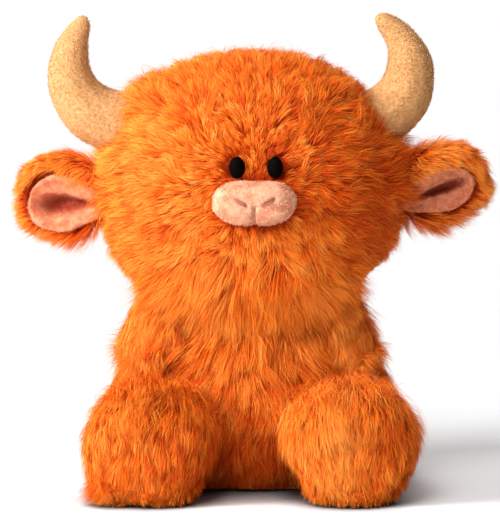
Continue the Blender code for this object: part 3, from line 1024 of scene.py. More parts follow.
class Fur:
    """Grows a coat on a skin and makes its fibres as narrow tapered strips."""

    MOST_TRIANGLES = 190000
    TONES = 64

    def __init__(self, skin: Skin, coat: Coat, flow: Flow, neighbours: Neighbours) -> None:
        """Keeps what the fur grows on.

        Args:
            skin: the cloth.
            coat: the sizes of the fur.
            flow: how it is combed.
            neighbours: what leaves it no room.
        """
        self.skin = skin
        self.coat = coat
        self.flow = flow
        self.neighbours = neighbours
        self.rng = np.random.default_rng(coat.seed)

    def _lines(self, roots: Array, normals: Array, ways: Array, lengths: Array, lift: Array) -> Array:
        """The centre lines of fibres that rise from the cloth and lie down along it.

        Args:
            roots: where they start.
            normals: the cloth's normals there.
            ways: the way they are combed, on the surface.
            lengths: their lengths.
            lift: how much steeper or flatter each one stands, 1 being plain.

        Returns:
            Points by fibre and step.
        """
        steps = self.coat.steps
        start = math.radians(self.coat.root_lift_deg)
        end = math.radians(self.coat.tip_lift_deg)
        facing_down = np.clip(-normals[:, 2], 0.0, 1.0)
        hanging = np.clip(facing_down * self.coat.hang, 0.0, 1.0)
        plumb = np.arcsin(facing_down)
        along = np.zeros(len(roots))
        above = np.zeros(len(roots))
        lines = [roots]
        for step in range(steps):
            share = (step + 0.5) / steps
            angle = np.minimum((start * (1 - share) + end * share) * lift, self.coat.steepest)
            angle = angle + (plumb - angle) * hanging
            along = along + np.cos(angle) * lengths / steps
            above = above + np.sin(angle) * lengths / steps
            height = above - along * along / (2 * self.coat.hugging_radius) * (1 - hanging)
            point = roots + ways * along[:, None] + normals * height[:, None]
            fall = self.coat.droop * lengths * ((step + 1) / steps) ** 2
            point[:, 2] -= fall
            lines.append(point)
        return np.stack(lines, axis=1)

    def _combed(self, points: Array, normals: Array, jitter_deg: Array) -> Array:
        """The combed ways at points, turned about the normal by the given angles.

        Args:
            points: the fibres' roots.
            normals: the cloth's normals there.
            jitter_deg: how far each fibre turns aside, in degrees.

        Returns:
            Ways of length 1, on the surface.
        """
        ways = tangent(self.flow.headings(points, normals), normals)
        sideways = np.cross(normals, ways)
        swirl = ripple(points, self.coat.swirl_size, self.coat.seed + 5) * self.coat.turn_deg
        turn = np.radians(swirl + jitter_deg)[:, None]
        return ways * np.cos(turn) + sideways * np.sin(turn)

    def fibres(self) -> Fibres:
        """Grows the coat.

        Returns:
            The fibres' centre lines, normals, widths and tones.
        """
        coat, rng = self.coat, self.rng
        wanted = coat.strands
        roots, normals = self.skin.roots(wanted, rng)
        keep = self.flow.keeps(roots, normals)
        keep &= ~((normals[:, 2] < -0.55) & (roots[:, 2] < 0.006))
        roots, normals = roots[keep], normals[keep]
        free = self.neighbours.leave_room(roots, normals)
        roots, normals = roots[free], normals[free]
        total = len(roots)
        clumps = max(1, total // coat.clump_strands)
        heads = rng.choice(total, size=clumps, replace=False)
        tree = KDTree(clumps)
        for index, head in enumerate(heads):
            tree.insert(roots[head], index)
        tree.balance()
        nearest = np.array([tree.find(root)[1] for root in roots.tolist()])
        clump_turn = rng.normal(scale=coat.fibre_turn_deg, size=clumps)
        clump_size = rng.uniform(*coat.clump_sizes, clumps)
        clump_lift = rng.uniform(*coat.clump_lifts, clumps)
        clump_tone = rng.normal(scale=coat.tone_scatter, size=clumps)
        lengths = coat.length * self.flow.lengths(roots, normals)
        lifts = self.flow.lifts(roots, normals)
        strays = rng.uniform(size=total) < coat.stray_share
        wild = np.where(strays, coat.stray_growth, 1.0)
        turns = clump_turn[nearest] + rng.normal(scale=coat.fibre_turn_deg, size=total)
        own = self._lines(
            roots,
            normals,
            self._combed(roots, normals, turns),
            lengths * clump_size[nearest] * rng.uniform(*coat.fibre_sizes, total) * wild,
            clump_lift[nearest] * rng.uniform(*coat.fibre_lifts, total) * lifts * wild,
        )
        lead = self._lines(
            roots[heads],
            normals[heads],
            self._combed(roots[heads], normals[heads], clump_turn),
            lengths[heads] * clump_size,
            clump_lift * lifts[heads],
        )
        shares = (np.arange(coat.steps + 1) / coat.steps)[None, :, None]
        pull = coat.clump_pull * rng.uniform(*coat.fibre_pulls, total)
        pull[strays] *= coat.stray_pull
        lines = own + (lead[nearest] - own) * np.clip(pull, 0, 1)[:, None, None] * shares**1.3
        low = lines[:, :, 2] < coat.floor
        resting = coat.floor + rng.uniform(0, coat.floor_scatter, total)[:, None]
        lines[:, :, 2] = np.where(low, resting, lines[:, :, 2])
        widths = coat.width * rng.uniform(*coat.fibre_widths, total)
        widths[strays] *= coat.stray_width
        tones = 0.5 + clump_tone[nearest] + rng.normal(scale=coat.tone_scatter, size=total)
        tones += ripple(roots, coat.blotch_size, coat.seed + 9) * coat.blotch_tone
        # The flow's painted shade deepens the tone, and its painted light, below 0, lightens it.
        tones -= self.flow.shades(roots)
        return Fibres(lines, normals, widths, np.clip(tones, 0.0, 0.999))

    def _strip_mesh(self, name: str, fibres: Fibres) -> bpy.types.Mesh:
        """One mesh of tapered strips, each turned by chance about its own line.

        Args:
            name: the mesh's name.
            fibres: the fibres to draw.

        Returns:
            The mesh, with its fibre chart.
        """
        lines, total = fibres.lines, len(fibres.lines)
        steps = lines.shape[1] - 1
        ahead = unit(np.gradient(lines, axis=1))
        side = unit(np.cross(ahead, fibres.normals[:, None, :]))
        rise = np.cross(side, ahead)
        roll = self.rng.uniform(-1.0, 1.0, total)[:, None, None]
        across = side * np.cos(roll) + rise * np.sin(roll)
        swell = np.interp(np.arange(steps) / steps, (0, 0.3, 0.7, 1), (0.75, 1.0, 0.8, 0.3))
        half = across[:, :steps] * (fibres.widths[:, None, None] * swell[None, :, None] / 2)
        pairs = np.stack((lines[:, :steps] - half, lines[:, :steps] + half), axis=2)
        points = np.concatenate((pairs.reshape(total, -1, 3), lines[:, steps:]), axis=1)
        each = 2 * steps + 1
        strip = []
        for step in range(steps - 1):
            low = 2 * step
            strip += [low, low + 1, low + 3, low + 2]
        last = 2 * (steps - 1)
        strip += [last, last + 1, last + 2]
        strip = np.array(strip)
        corners = (strip[None, :] + each * np.arange(total)[:, None]).ravel()
        starts = np.append(np.arange(steps - 1) * 4, 4 * (steps - 1))
        starts = (starts[None, :] + len(strip) * np.arange(total)[:, None]).ravel()
        mesh = bpy.data.meshes.new(name)
        mesh.vertices.add(total * each)
        mesh.vertices.foreach_set("co", points.astype(np.float32).ravel())
        mesh.loops.add(len(corners))
        mesh.loops.foreach_set("vertex_index", corners.astype(np.int32))
        mesh.polygons.add(total * steps)
        mesh.polygons.foreach_set("loop_start", starts.astype(np.int32))
        chart = mesh.uv_layers.new(name=FIBRE_MAP)
        column = np.floor(fibres.tones * self.TONES)
        left = np.where(strip % 2 == 0, 0.12, 0.88)
        left = np.where(strip == last + 2, 0.5, left)
        u = (column[:, None] + left[None, :]) / self.TONES
        v = np.tile((strip // 2) / steps, (total, 1))
        chart.data.foreach_set("uv", np.stack((u, v), axis=2).astype(np.float32).ravel())
        mesh.update(calc_edges=True)
        mesh.shade_smooth()
        return mesh

    def grow(self, name: str, body: str, finish: bpy.types.Material) -> None:
        """Makes the fur's pieces and puts them on their body.

        Args:
            name: the start of the pieces' names.
            body: the CAD body they ride on.
            finish: the fur's material.
        """
        fibres = self.fibres()
        total = len(fibres.lines)
        batches = math.ceil(total * (2 * self.coat.steps - 1) / self.MOST_TRIANGLES)
        order = self.rng.permutation(total)
        for batch in range(batches):
            part = order[batch::batches]
            drawn = Fibres(
                fibres.lines[part], fibres.normals[part], fibres.widths[part], fibres.tones[part]
            )
            piece_name = f"{name}_{batch + 1}" if batches > 1 else name
            piece = new_object(piece_name, self._strip_mesh(piece_name, drawn))
            piece.data.materials.append(finish)
            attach(piece, body)
        LOG.info("%s: %d fibres in %d pieces", name, total, batches)


@dataclass
class FurryPiece:
    """A stuffed piece of fur fabric: its cloth and its coat."""

    node: str
    body: str
    coat: Coat
    flow: Flow
    voxel: float = 0.0030
    rounds: int = 6
    inset: float = 0.0030
    fill: float = 0.8
    own: tuple[str, ...] = ()
    reach: float = 0.006
    fold: Fold | None = None

    def build(self, finishes: Finishes) -> None:
        """Makes the cloth and grows its fur.

        Args:
            finishes: the toy's finishes.
        """
        skin = Skin(self.node + "_cloth", self.node, self.voxel, self.rounds, self.inset)
        if self.fold:
            press(skin.thing, self.fold)
        skin.thing.data.materials.append(finishes.underfur)
        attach(skin.thing, self.body)
        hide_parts(self.node)
        neighbours = Neighbours((self.node, *self.own), self.reach)
        Fur(skin, self.coat, self.flow, neighbours).grow(
            self.node + "_fur", self.body, finishes.fur
        )


# Flows of the furry pieces


@dataclass
class HeadFlow(Flow):
    """Fur that runs out from the face on all sides and down the back of the head."""

    left_eye: Point = (-0.0089, -0.066, 0.1975)
    right_eye: Point = (0.0137, -0.066, 0.1975)
    muzzle: Point = (0.0015, -0.068, 0.1790)
    seat: Point = (0.0013, -0.068, 0.1778)
    short_share: float = 0.46
    face: Point = (0.0022, -0.068, 0.187)
    short_at: float = 0.022
    full_at: float = 0.062
    beard_share: float = 0.65
    jowl_share: float = 0.40
    jowl_more: float = 0.38
    temple_share: float = 0.45
    temple_more: float = 0.9
    brow_share: float = 0.55
    face_flat: float = 0.28
    back: Span = (0.000, 0.055)
    chin: Span = (-0.158, -0.128)
    beard_front: Span = (0.000, 0.030)
    jowl_back: Span = (0.025, 0.045)
    jowl_out: Span = (0.048, 0.066)
    temple_out: Span = (0.066, 0.078)
    temple_low: Span = (0.168, 0.180)
    temple_high: Span = (-0.216, -0.204)
    brow_out: Span = (0.044, 0.056)
    brow_up: Span = (0.216, 0.226)
    right_half: Span = (0.0, 0.03)
    eye_pull: float = 0.7
    muzzle_pull: float = 2.4
    eye_oval: Span = (0.0050, 0.0068)
    seat_oval: Span = (0.0226, 0.0118)
    # Painted shade in the eye sockets and along the muzzle's edge.
    eye_shade: float = 0.45
    edge_shade: float = 0.62
    # Painted shade on the right of the face, by the left ear and under the chin; painted light, where depth
    # is below 0, on the left cheek and the beard.
    patches: tuple[Patch, ...] = (
        Patch(0.060, 0.184, 0.024, 0.026, 0.70),
        Patch(0.066, 0.160, 0.020, 0.012, 0.34),
        Patch(0.040, 0.212, 0.016, 0.008, 0.22),
        Patch(-0.082, 0.180, 0.008, 0.012, 0.20),
        Patch(-0.052, 0.186, 0.026, 0.034, -0.36),
        Patch(0.072, 0.136, 0.016, 0.014, 0.34),
        Patch(0.003, 0.132, 0.006, 0.010, 0.22),
        Patch(0.002, 0.150, 0.030, 0.012, -0.14),
    )

    def headings(self, points: Array, normals: Array) -> Array:
        """Away from the eyes and the muzzle, then down the back.

        Args:
            points: the fibres' roots.
            normals: the cloth's normals there.

        Returns:
            One vector for each root.
        """
        away = np.zeros_like(points)
        pulls = (self.eye_pull, self.eye_pull, self.muzzle_pull)
        for centre, pull in zip((self.left_eye, self.right_eye, self.muzzle), pulls):
            offset = points - np.array(centre)
            away += pull * offset / np.sum(offset * offset, axis=1, keepdims=True)
        back = smooth_step(points[:, 1], *self.back)[:, None]
        down = np.array((0.0, 0.15, -1.0))
        return unit(away) * (1 - back) + down * back

    def lengths(self, points: Array, normals: Array) -> Array:
        """Short round the face, full from the cheeks on, long under the chin.

        Args:
            points: the fibres' roots.
            normals: the cloth's normals there.

        Returns:
            One share for each root.
        """
        offset = points - np.array(self.face)
        offset[:, 2] *= 0.95
        reach = np.linalg.norm(offset, axis=1)
        full = smooth_step(reach, self.short_at, self.full_at)
        shares = self.short_share + (1 - self.short_share) * full
        low = smooth_step(-points[:, 2], *self.chin)
        beard = low * smooth_step(-points[:, 1], *self.beard_front)
        front = 1 - smooth_step(points[:, 1], *self.jowl_back)
        jowls = low * smooth_step(np.abs(points[:, 0]), *self.jowl_out) * front
        more = 1 + self.temple_more * (points[:, 0] > 0)
        over_ear = smooth_step(np.abs(points[:, 0]), *self.temple_out) * more
        above = smooth_step(points[:, 2], *self.temple_low)
        over_ear *= above * smooth_step(-points[:, 2], *self.temple_high)
        by_horn = smooth_step(-points[:, 0], *self.brow_out) * smooth_step(points[:, 2], *self.brow_up)
        grown = 1 + self.beard_share * beard * (1 - jowls) + self.temple_share * over_ear
        grown = grown + self.brow_share * by_horn
        trim = self.jowl_share + self.jowl_more * smooth_step(points[:, 0], *self.right_half)
        return shares * grown * (1 - trim * jowls)

    def lifts(self, points: Array, normals: Array) -> Array:
        """Flatter over the face."""
        return 1 - self.face_flat * smooth_step(-normals[:, 1], 0.30, 0.85)

    def _ovals(self, points: Array) -> list[Array]:
        """How far each point lies from the eyes and the muzzle, 1 being their edge.

        Args:
            points: the fibres' roots.

        Returns:
            One array for each eye and one for the muzzle.
        """
        reaches = []
        ovals = (self.eye_oval, self.eye_oval, self.seat_oval)
        for centre, (wide, high) in zip((self.left_eye, self.right_eye, self.seat), ovals):
            across = (points[:, 0] - centre[0]) / wide
            up = (points[:, 2] - centre[2]) / high
            reaches.append(np.sqrt(across**2 + up**2) + 9.0 * (points[:, 1] > -0.02))
        return reaches

    def keeps(self, points: Array, normals: Array) -> Array:
        """None on the muzzle's seat or in the eye sockets."""
        return np.min(self._ovals(points), axis=0) > 1.0

    def shades(self, points: Array) -> Array:
        """Painted shade in the hollows round the eyes and the muzzle, with the patches' painted shade and
        light.

        Args:
            points: the fibres' roots.

        Returns:
            One share for each root.
        """
        left, right, seat = self._ovals(points)
        eyes = self.eye_shade * np.exp(-(((np.minimum(left, right) - 1.0) / 1.1) ** 2))
        edge = self.edge_shade * np.exp(-(((seat - 1.0) / 0.20) ** 2))
        return np.maximum(eyes, edge) + super().shades(points)


@dataclass
class BodyFlow(Flow):
    """Fur that spreads from the throat over the chest and hangs down flanks and back."""

    throat: Point = (0.004, -0.050, 0.155)
    outward: float = 1.7
    front: Span = (-0.010, 0.025)
    bib_up: Span = (0.070, 0.100)
    bib_front: Span = (0.000, 0.025)
    neck_out: Span = (0.030, 0.055)
    neck_up: Span = (0.070, 0.090)
    hips: Span = (4.0, 3.0)
    middle_y: float = 0.0135
    bib_share: float = 0.40
    bib_lift: float = 0.5
    neck_trim: float = 0.45
    # Painted shade at the right shoulder, low on the belly, in the creases beside the arms and under the
    # chin; painted light, where depth is below 0, across the chest.
    patches: tuple[Patch, ...] = (
        Patch(0.046, 0.108, 0.016, 0.008, 0.30),
        Patch(0.000, 0.094, 0.040, 0.012, -0.14),
        Patch(0.001, 0.022, 0.036, 0.022, 0.72),
        Patch(-0.034, 0.052, 0.008, 0.032, 0.40),
        Patch(0.032, 0.040, 0.008, 0.028, 0.30),
        Patch(0.000, 0.112, 0.008, 0.010, 0.22),
    )

    def headings(self, points: Array, normals: Array) -> Array:
        """Away from the throat in front, down elsewhere.

        Args:
            points: the fibres' roots.
            normals: the cloth's normals there.

        Returns:
            One vector for each root.
        """
        front = smooth_step(-points[:, 1], *self.front)[:, None]
        spread = points - np.array(self.throat)
        spread[:, 0] *= self.outward
        spread[:, 1] = 0.0
        down = np.zeros_like(points)
        down[:, 0] = points[:, 0] * self.hips[0]
        down[:, 1] = (points[:, 1] - self.middle_y) * self.hips[1]
        down[:, 2] = -1.0
        return unit(spread) * front + down * (1 - front)

    def bib(self, points: Array) -> Array:
        """How much each point belongs to the chest under the chin."""
        high = smooth_step(points[:, 2], *self.bib_up)
        return high * smooth_step(-points[:, 1], *self.bib_front)

    def lengths(self, points: Array, normals: Array) -> Array:
        """Longest on the chest under the chin, trimmed at the right of the neck."""
        neck = smooth_step(points[:, 0], *self.neck_out) * smooth_step(points[:, 2], *self.neck_up)
        return (1 + self.bib_share * self.bib(points)) * (1 - self.neck_trim * neck)

    def lifts(self, points: Array, normals: Array) -> Array:
        """Steeper on the chest under the chin."""
        return 1 + self.bib_lift * self.bib(points)


@dataclass
class LimbFlow(Flow):
    """Fur that fans down over a foot from a point above it."""

    source: Point
    outer: int
    spread: float
    shoulder: float
    down: float = 0.35
    combed_low: Span = (-0.040, -0.008)
    grown_low: Span = (-0.052, -0.010)
    grown_high: Span = (0.038, 0.056)
    under_arm: Span = (-0.100, -0.060)
    narrowed: float = 0.6
    forward: float = 0.3
    top_share: float = 0.30
    arm_share: float = 0.90
    steeper: float = 0.10
    # Painted shade on the left leg's inner side and middle and on the right foot's outer side; painted
    # light, where depth is below 0, on the left leg's top and the right foot's inner side.
    patches: tuple[Patch, ...] = (
        Patch(-0.028, 0.034, 0.008, 0.030, 0.40),
        Patch(0.080, 0.030, 0.014, 0.020, 0.24),
        Patch(-0.048, 0.038, 0.016, 0.028, 0.30),
        Patch(-0.066, 0.064, 0.020, 0.010, -0.10),
        Patch(0.052, 0.034, 0.018, 0.032, -0.60),
    )

    def headings(self, points: Array, normals: Array) -> Array:
        """Away from the source, and down.

        Args:
            points: the fibres' roots.
            normals: the cloth's normals there.

        Returns:
            One vector for each root.
        """
        ways = unit(points - np.array(self.source))
        low = smooth_step(-points[:, 2], *self.combed_low)
        outside = smooth_step(normals[:, 0] * self.outer, 0.0, 0.7)
        over = self.by_arm(points, normals)
        ways[:, 2] -= self.down * (1 - low)
        outward = self.outer * self.spread * low * outside
        ways[:, 0] = ways[:, 0] * (1 - self.narrowed * over) + outward
        ways[:, 1] -= self.forward * low + over
        return ways

    def by_arm(self, points: Array, normals: Array) -> Array:
        """How much each point belongs to the top of the limb, under the arm's end."""
        top = smooth_step(normals[:, 2], 0.0, 0.6) * smooth_step(points[:, 1], *self.under_arm)
        return top * (1 - smooth_step(normals[:, 0] * self.outer, 0.20, 0.75))

    def lengths(self, points: Array, normals: Array) -> Array:
        """Longer on top, where it runs into the arm, and low on the outer side.

        Args:
            points: the fibres' roots.
            normals: the cloth's normals there.

        Returns:
            One share for each root.
        """
        top = smooth_step(normals[:, 2], 0.2, 0.8)
        outside = smooth_step(normals[:, 0] * self.outer, 0.2, 0.8)
        low = smooth_step(-points[:, 2], *self.grown_low)
        high = smooth_step(points[:, 2], *self.grown_high)
        grown = 1 + self.top_share * top + self.arm_share * self.by_arm(points, normals)
        return grown + outside * (self.spread * low + self.shoulder * high)

    def lifts(self, points: Array, normals: Array) -> Array:
        """A little steeper on top, most under the arm's end."""
        top = smooth_step(normals[:, 2], 0.2, 0.8)
        return 1 + self.steeper * top + self.steeper * self.by_arm(points, normals)


@dataclass
class AlongFlow(Flow):
    """Fur that runs one way along a piece and fans out from its middle line."""

    root: Point
    along: Point
    fan: float = 0.5
    end_share: float = 0.0
    end_from: float = 0.030
    end_span: float = 0.015
    near_root: Span = (-0.034, -0.010)
    end_forward: float = 0.0
    root_share: float = 0.0
    under_share: float = 0.3
    trim_way: Point = (0.0, 0.0, 1.0)
    trim_share: float = 0.0
    flat_share: float = 0.0
    front_fall: float = 0.0
    bare: tuple[float, float, float, float] | None = None
    bare_share: float = 0.72
    # Painted light: lifts the tone of the piece's fibres all over.
    painted_light: float = 0.0

    def headings(self, points: Array, normals: Array) -> Array:
        """Along the piece, and away from its middle line.

        Args:
            points: the fibres' roots.
            normals: the cloth's normals there.

        Returns:
            One vector for each root.
        """
        line = unit(np.array(self.along, float))
        offset = points - np.array(self.root)
        reach = (offset @ line)[:, None]
        out = offset - reach * line
        end = smooth_step(reach, self.end_from, self.end_from + self.end_span)
        forward = np.array((0.0, -self.end_forward, 0.0))
        above = smooth_step(points[:, 2], self.root[2], self.root[2] + 0.008)
        fall = above * smooth_step(-normals[:, 1], 0.0, 0.5) * self.front_fall
        return line + unit(out) * self.fan + forward * end - fall[:, None] * np.array((0.0, 0.0, 1.0))

    def lengths(self, points: Array, normals: Array) -> Array:
        """Longer towards the end, or on top near the root, as the piece asks.

        Args:
            points: the fibres' roots.
            normals: the cloth's normals there.

        Returns:
            One share for each root.
        """
        line = unit(np.array(self.along, float))
        reach = (points - np.array(self.root)) @ line
        end = smooth_step(reach, self.end_from, self.end_from + self.end_span)
        start = smooth_step(-reach, *self.near_root)
        above = start * smooth_step(normals[:, 2], 0.1, 0.7)
        under = start * smooth_step(-normals[:, 2], 0.1, 0.7)
        start = above + self.under_share * under
        trim = self.trimmed(normals) * self.trim_share
        return (1 + self.end_share * end + self.root_share * start) * (1 - trim)

    def trimmed(self, normals: Array) -> Array:
        """How much each place belongs to the side with the trimmed fur."""
        return smooth_step(normals @ np.array(self.trim_way), 0.2, 0.8)

    def lifts(self, points: Array, normals: Array) -> Array:
        """Flatter on the trimmed side, as the piece asks."""
        return 1 - self.flat_share * self.trimmed(normals)

    def keeps(self, points: Array, normals: Array) -> Array:
        """None where the piece is lined.

        Args:
            points: the fibres' roots.
            normals: the cloth's normals there.

        Returns:
            True for each root that grows a fibre.
        """
        if not self.bare:
            return np.ones(len(points), bool)
        x, z, half_width, half_height = self.bare
        oval = ((points[:, 0] - x) / half_width) ** 2 + ((points[:, 2] - z) / half_height) ** 2
        return ~((oval < self.bare_share) & (normals[:, 1] < 0.3))

    def shades(self, points: Array) -> Array:
        """Painted light: the tone lifted all over by the piece's share."""
        return np.full(len(points), -self.painted_light)


# Short-pile pieces


@dataclass(frozen=True)
class ShortPile:
    """The short upright pile of a plush cloth."""

    fibres: int
    length: float = 0.0013
    width: float = 0.00022
    lean: Point = (0.0, 0.0, -1.0)
    seed: int = 31

    def coat(self) -> Coat:
        """The same pile in the terms of a coat.

        Returns:
            The coat.
        """
        return Coat(
            strands=self.fibres,
            length=self.length,
            width=self.width,
            root_lift_deg=62.0,
            tip_lift_deg=38.0,
            droop=0.0,
            clump_strands=12,
            clump_pull=0.5,
            stray_share=0.1,
            turn_deg=50.0,
            steps=2,
            seed=self.seed,
        )


@dataclass
class LeanFlow(Flow):
    """A nap brushed one way."""

    lean: Point

    def headings(self, points: Array, normals: Array) -> Array:
        """The way the nap is brushed."""
        return np.tile(np.array(self.lean, float), (len(points), 1))


class Drawn(Skin):
    """A cloth that is drawn from its own mesh rather than from a node's form."""

    def __init__(self, thing: bpy.types.Object) -> None:
        """Takes a finished piece as a cloth."""
        self.thing = thing


def give_pile(
    skin: Skin, pile: ShortPile, own: Sequence[str], body: str, finish: bpy.types.Material
) -> None:
    """Grows a short pile on a plush piece.

    Args:
        skin: the piece.
        pile: the pile's sizes.
        own: the CAD nodes that the piece stands for.
        body: the CAD body it rides on.
        finish: the pile's material.
    """
    neighbours = Neighbours(own, 0.0008)
    fur = Fur(skin, pile.coat(), LeanFlow(pile.lean), neighbours)
    fur.grow(skin.thing.name + "_pile", body, finish)


@dataclass
class Horn:
    """A stuffed plush horn that curls up from the side of the head."""

    side: Side
    lean: float
    voxel: float = 0.0016
    rounds: int = 10
    lean_from: float = 0.200
    lean_rise: float = 0.045
    inset: float = 0.0002
    dent: float = 0.0007
    dent_size: float = 0.020
    pile: ShortPile = ShortPile(fibres=15000, length=0.0012, lean=(0.0, 0.0, 1.0))

    def build(self, finishes: Finishes) -> None:
        """Makes the horn's cloth with its soft dents, and its pile.

        Args:
            finishes: the toy's finishes.
        """
        node = self.side.value + "_horn"
        skin = Skin(node + "_cloth", node, self.voxel, self.rounds, self.inset)
        self.lean_over(skin.thing)
        dent(skin.thing, self.dent, self.dent_size, 41 + self.side.sign)
        skin.thing.data.materials.append(finishes.horn)
        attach(skin.thing, "root")
        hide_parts(node)
        give_pile(skin, self.pile, (node,), "root", finishes.horn_pile)
        LOG.info("%s built", node)

    def lean_over(self, piece: bpy.types.Object) -> None:
        """Leans the horn's upper part over a little, as its stuffing has settled.

        Args:
            piece: the horn's cloth.
        """
        for vertex in piece.data.vertices:
            share = min(1.0, max(0.0, (vertex.co.z - self.lean_from) / self.lean_rise))
            vertex.co.x += self.lean * share


def dent(piece: bpy.types.Object, depth: float, size: float, seed: int) -> None:
    """Moves a piece's points along their normals by smooth noise.

    Args:
        piece: the piece.
        depth: how deep the dents are in metres.
        size: how wide they are.
        seed: which noise it is.
    """
    places = vertex_vectors(piece.data, "co")
    places += vertex_vectors(piece.data, "normal") * (ripple(places, size, seed) * depth)[:, None]
    move_vertices(piece.data, places)


def press(piece: bpy.types.Object, fold: Fold) -> None:
    """Presses an ear's hollow into the front of a cloth.

    Args:
        piece: the cloth.
        fold: the hollow.
    """
    places = vertex_vectors(piece.data, "co")
    x = places[:, 0] - fold.x
    z = places[:, 2] - fold.z
    along = x * fold.inward / fold.half_length
    narrow = np.clip(1 - (along + 1) * fold.taper, fold.narrowest, None)
    across = (z - x * fold.slope) / fold.half_height / narrow
    hollow = 1 - smooth_step(along**2 + across**2, *fold.pressed)
    front = 1 - smooth_step(places[:, 1], *fold.front)
    places[:, 1] += hollow * front * fold.depth
    move_vertices(piece.data, places)


@dataclass
class Ear:
    """A furry ear with its lined bowl."""

    side: Side
    rise_deg: float
    drop: float
    front_fall: float
    trim_share: float
    under_share: float
    length: float
    strands: int = 16000
    root_y: float = 0.0015
    forward: float = 0.1
    fan: float = 0.7
    # Painted light on the ear's fur.
    painted_light: float = 0.32
    trim_way: Point = (-0.5, 0.0, 0.85)
    voxel: float = 0.0017
    inset: float = 0.0014
    lining_voxel: float = 0.0010
    lining_dent: float = 0.0004
    lining_dent_size: float = 0.010
    pile_fibres: int = 6000
    pile_length: float = 0.0012

    def build(self, finishes: Finishes) -> None:
        """Makes the ear's back with its fur, and the lining with its pile.

        Args:
            finishes: the toy's finishes.
        """
        name = self.side.value + "_ear"
        lining = name + "_lining"
        rise = math.radians(self.rise_deg)
        low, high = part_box(name)
        root_x = high[0] if self.side is Side.LEFT else low[0]
        root = (root_x, self.root_y, (low[2] + high[2]) / 2)
        along = (self.side.sign * math.cos(rise), self.forward, math.sin(rise))
        coat = Coat(
            strands=self.strands,
            length=self.length,
            root_lift_deg=42.0,
            tip_lift_deg=4.0,
            clump_pull=0.26,
            hugging_radius=0.05,
            hang=0.3,
            seed=60 + self.side.sign,
        )
        low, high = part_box(lining)
        bare = (
            (low[0] + high[0]) / 2, (low[2] + high[2]) / 2 - self.drop,
            (high[0] - low[0]) / 2, (high[2] - low[2]) / 2,
        )
        flow = AlongFlow(
            root, along, self.fan, root_share=1.0, under_share=self.under_share,
            front_fall=self.front_fall, bare=bare,
            trim_way=self.trim_way, trim_share=self.trim_share, painted_light=self.painted_light,
        )
        fold = EAR_FOLDS[self.side]
        FurryPiece(
            name, name, coat, flow, self.voxel, rounds=5, inset=self.inset, fill=0.5, reach=0.004, fold=fold
        ).build(finishes)
        skin = Skin(lining + "_cloth", lining, self.lining_voxel, rounds=6, inset=0.0)
        skin.thing.data.transform(Matrix.Translation((0.0, 0.0, -self.drop)))
        press(skin.thing, fold)
        dent(skin.thing, self.lining_dent, self.lining_dent_size, 71 + self.side.sign)
        skin.thing.data.materials.append(finishes.lining[self.side])
        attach(skin.thing, name)
        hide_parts(lining)
        pile = ShortPile(self.pile_fibres, self.pile_length, lean=along, seed=80 + self.side.sign)
        give_pile(skin, pile, (lining, name), name, finishes.lining_pile[self.side])
        LOG.info("%s and its lining built", name)


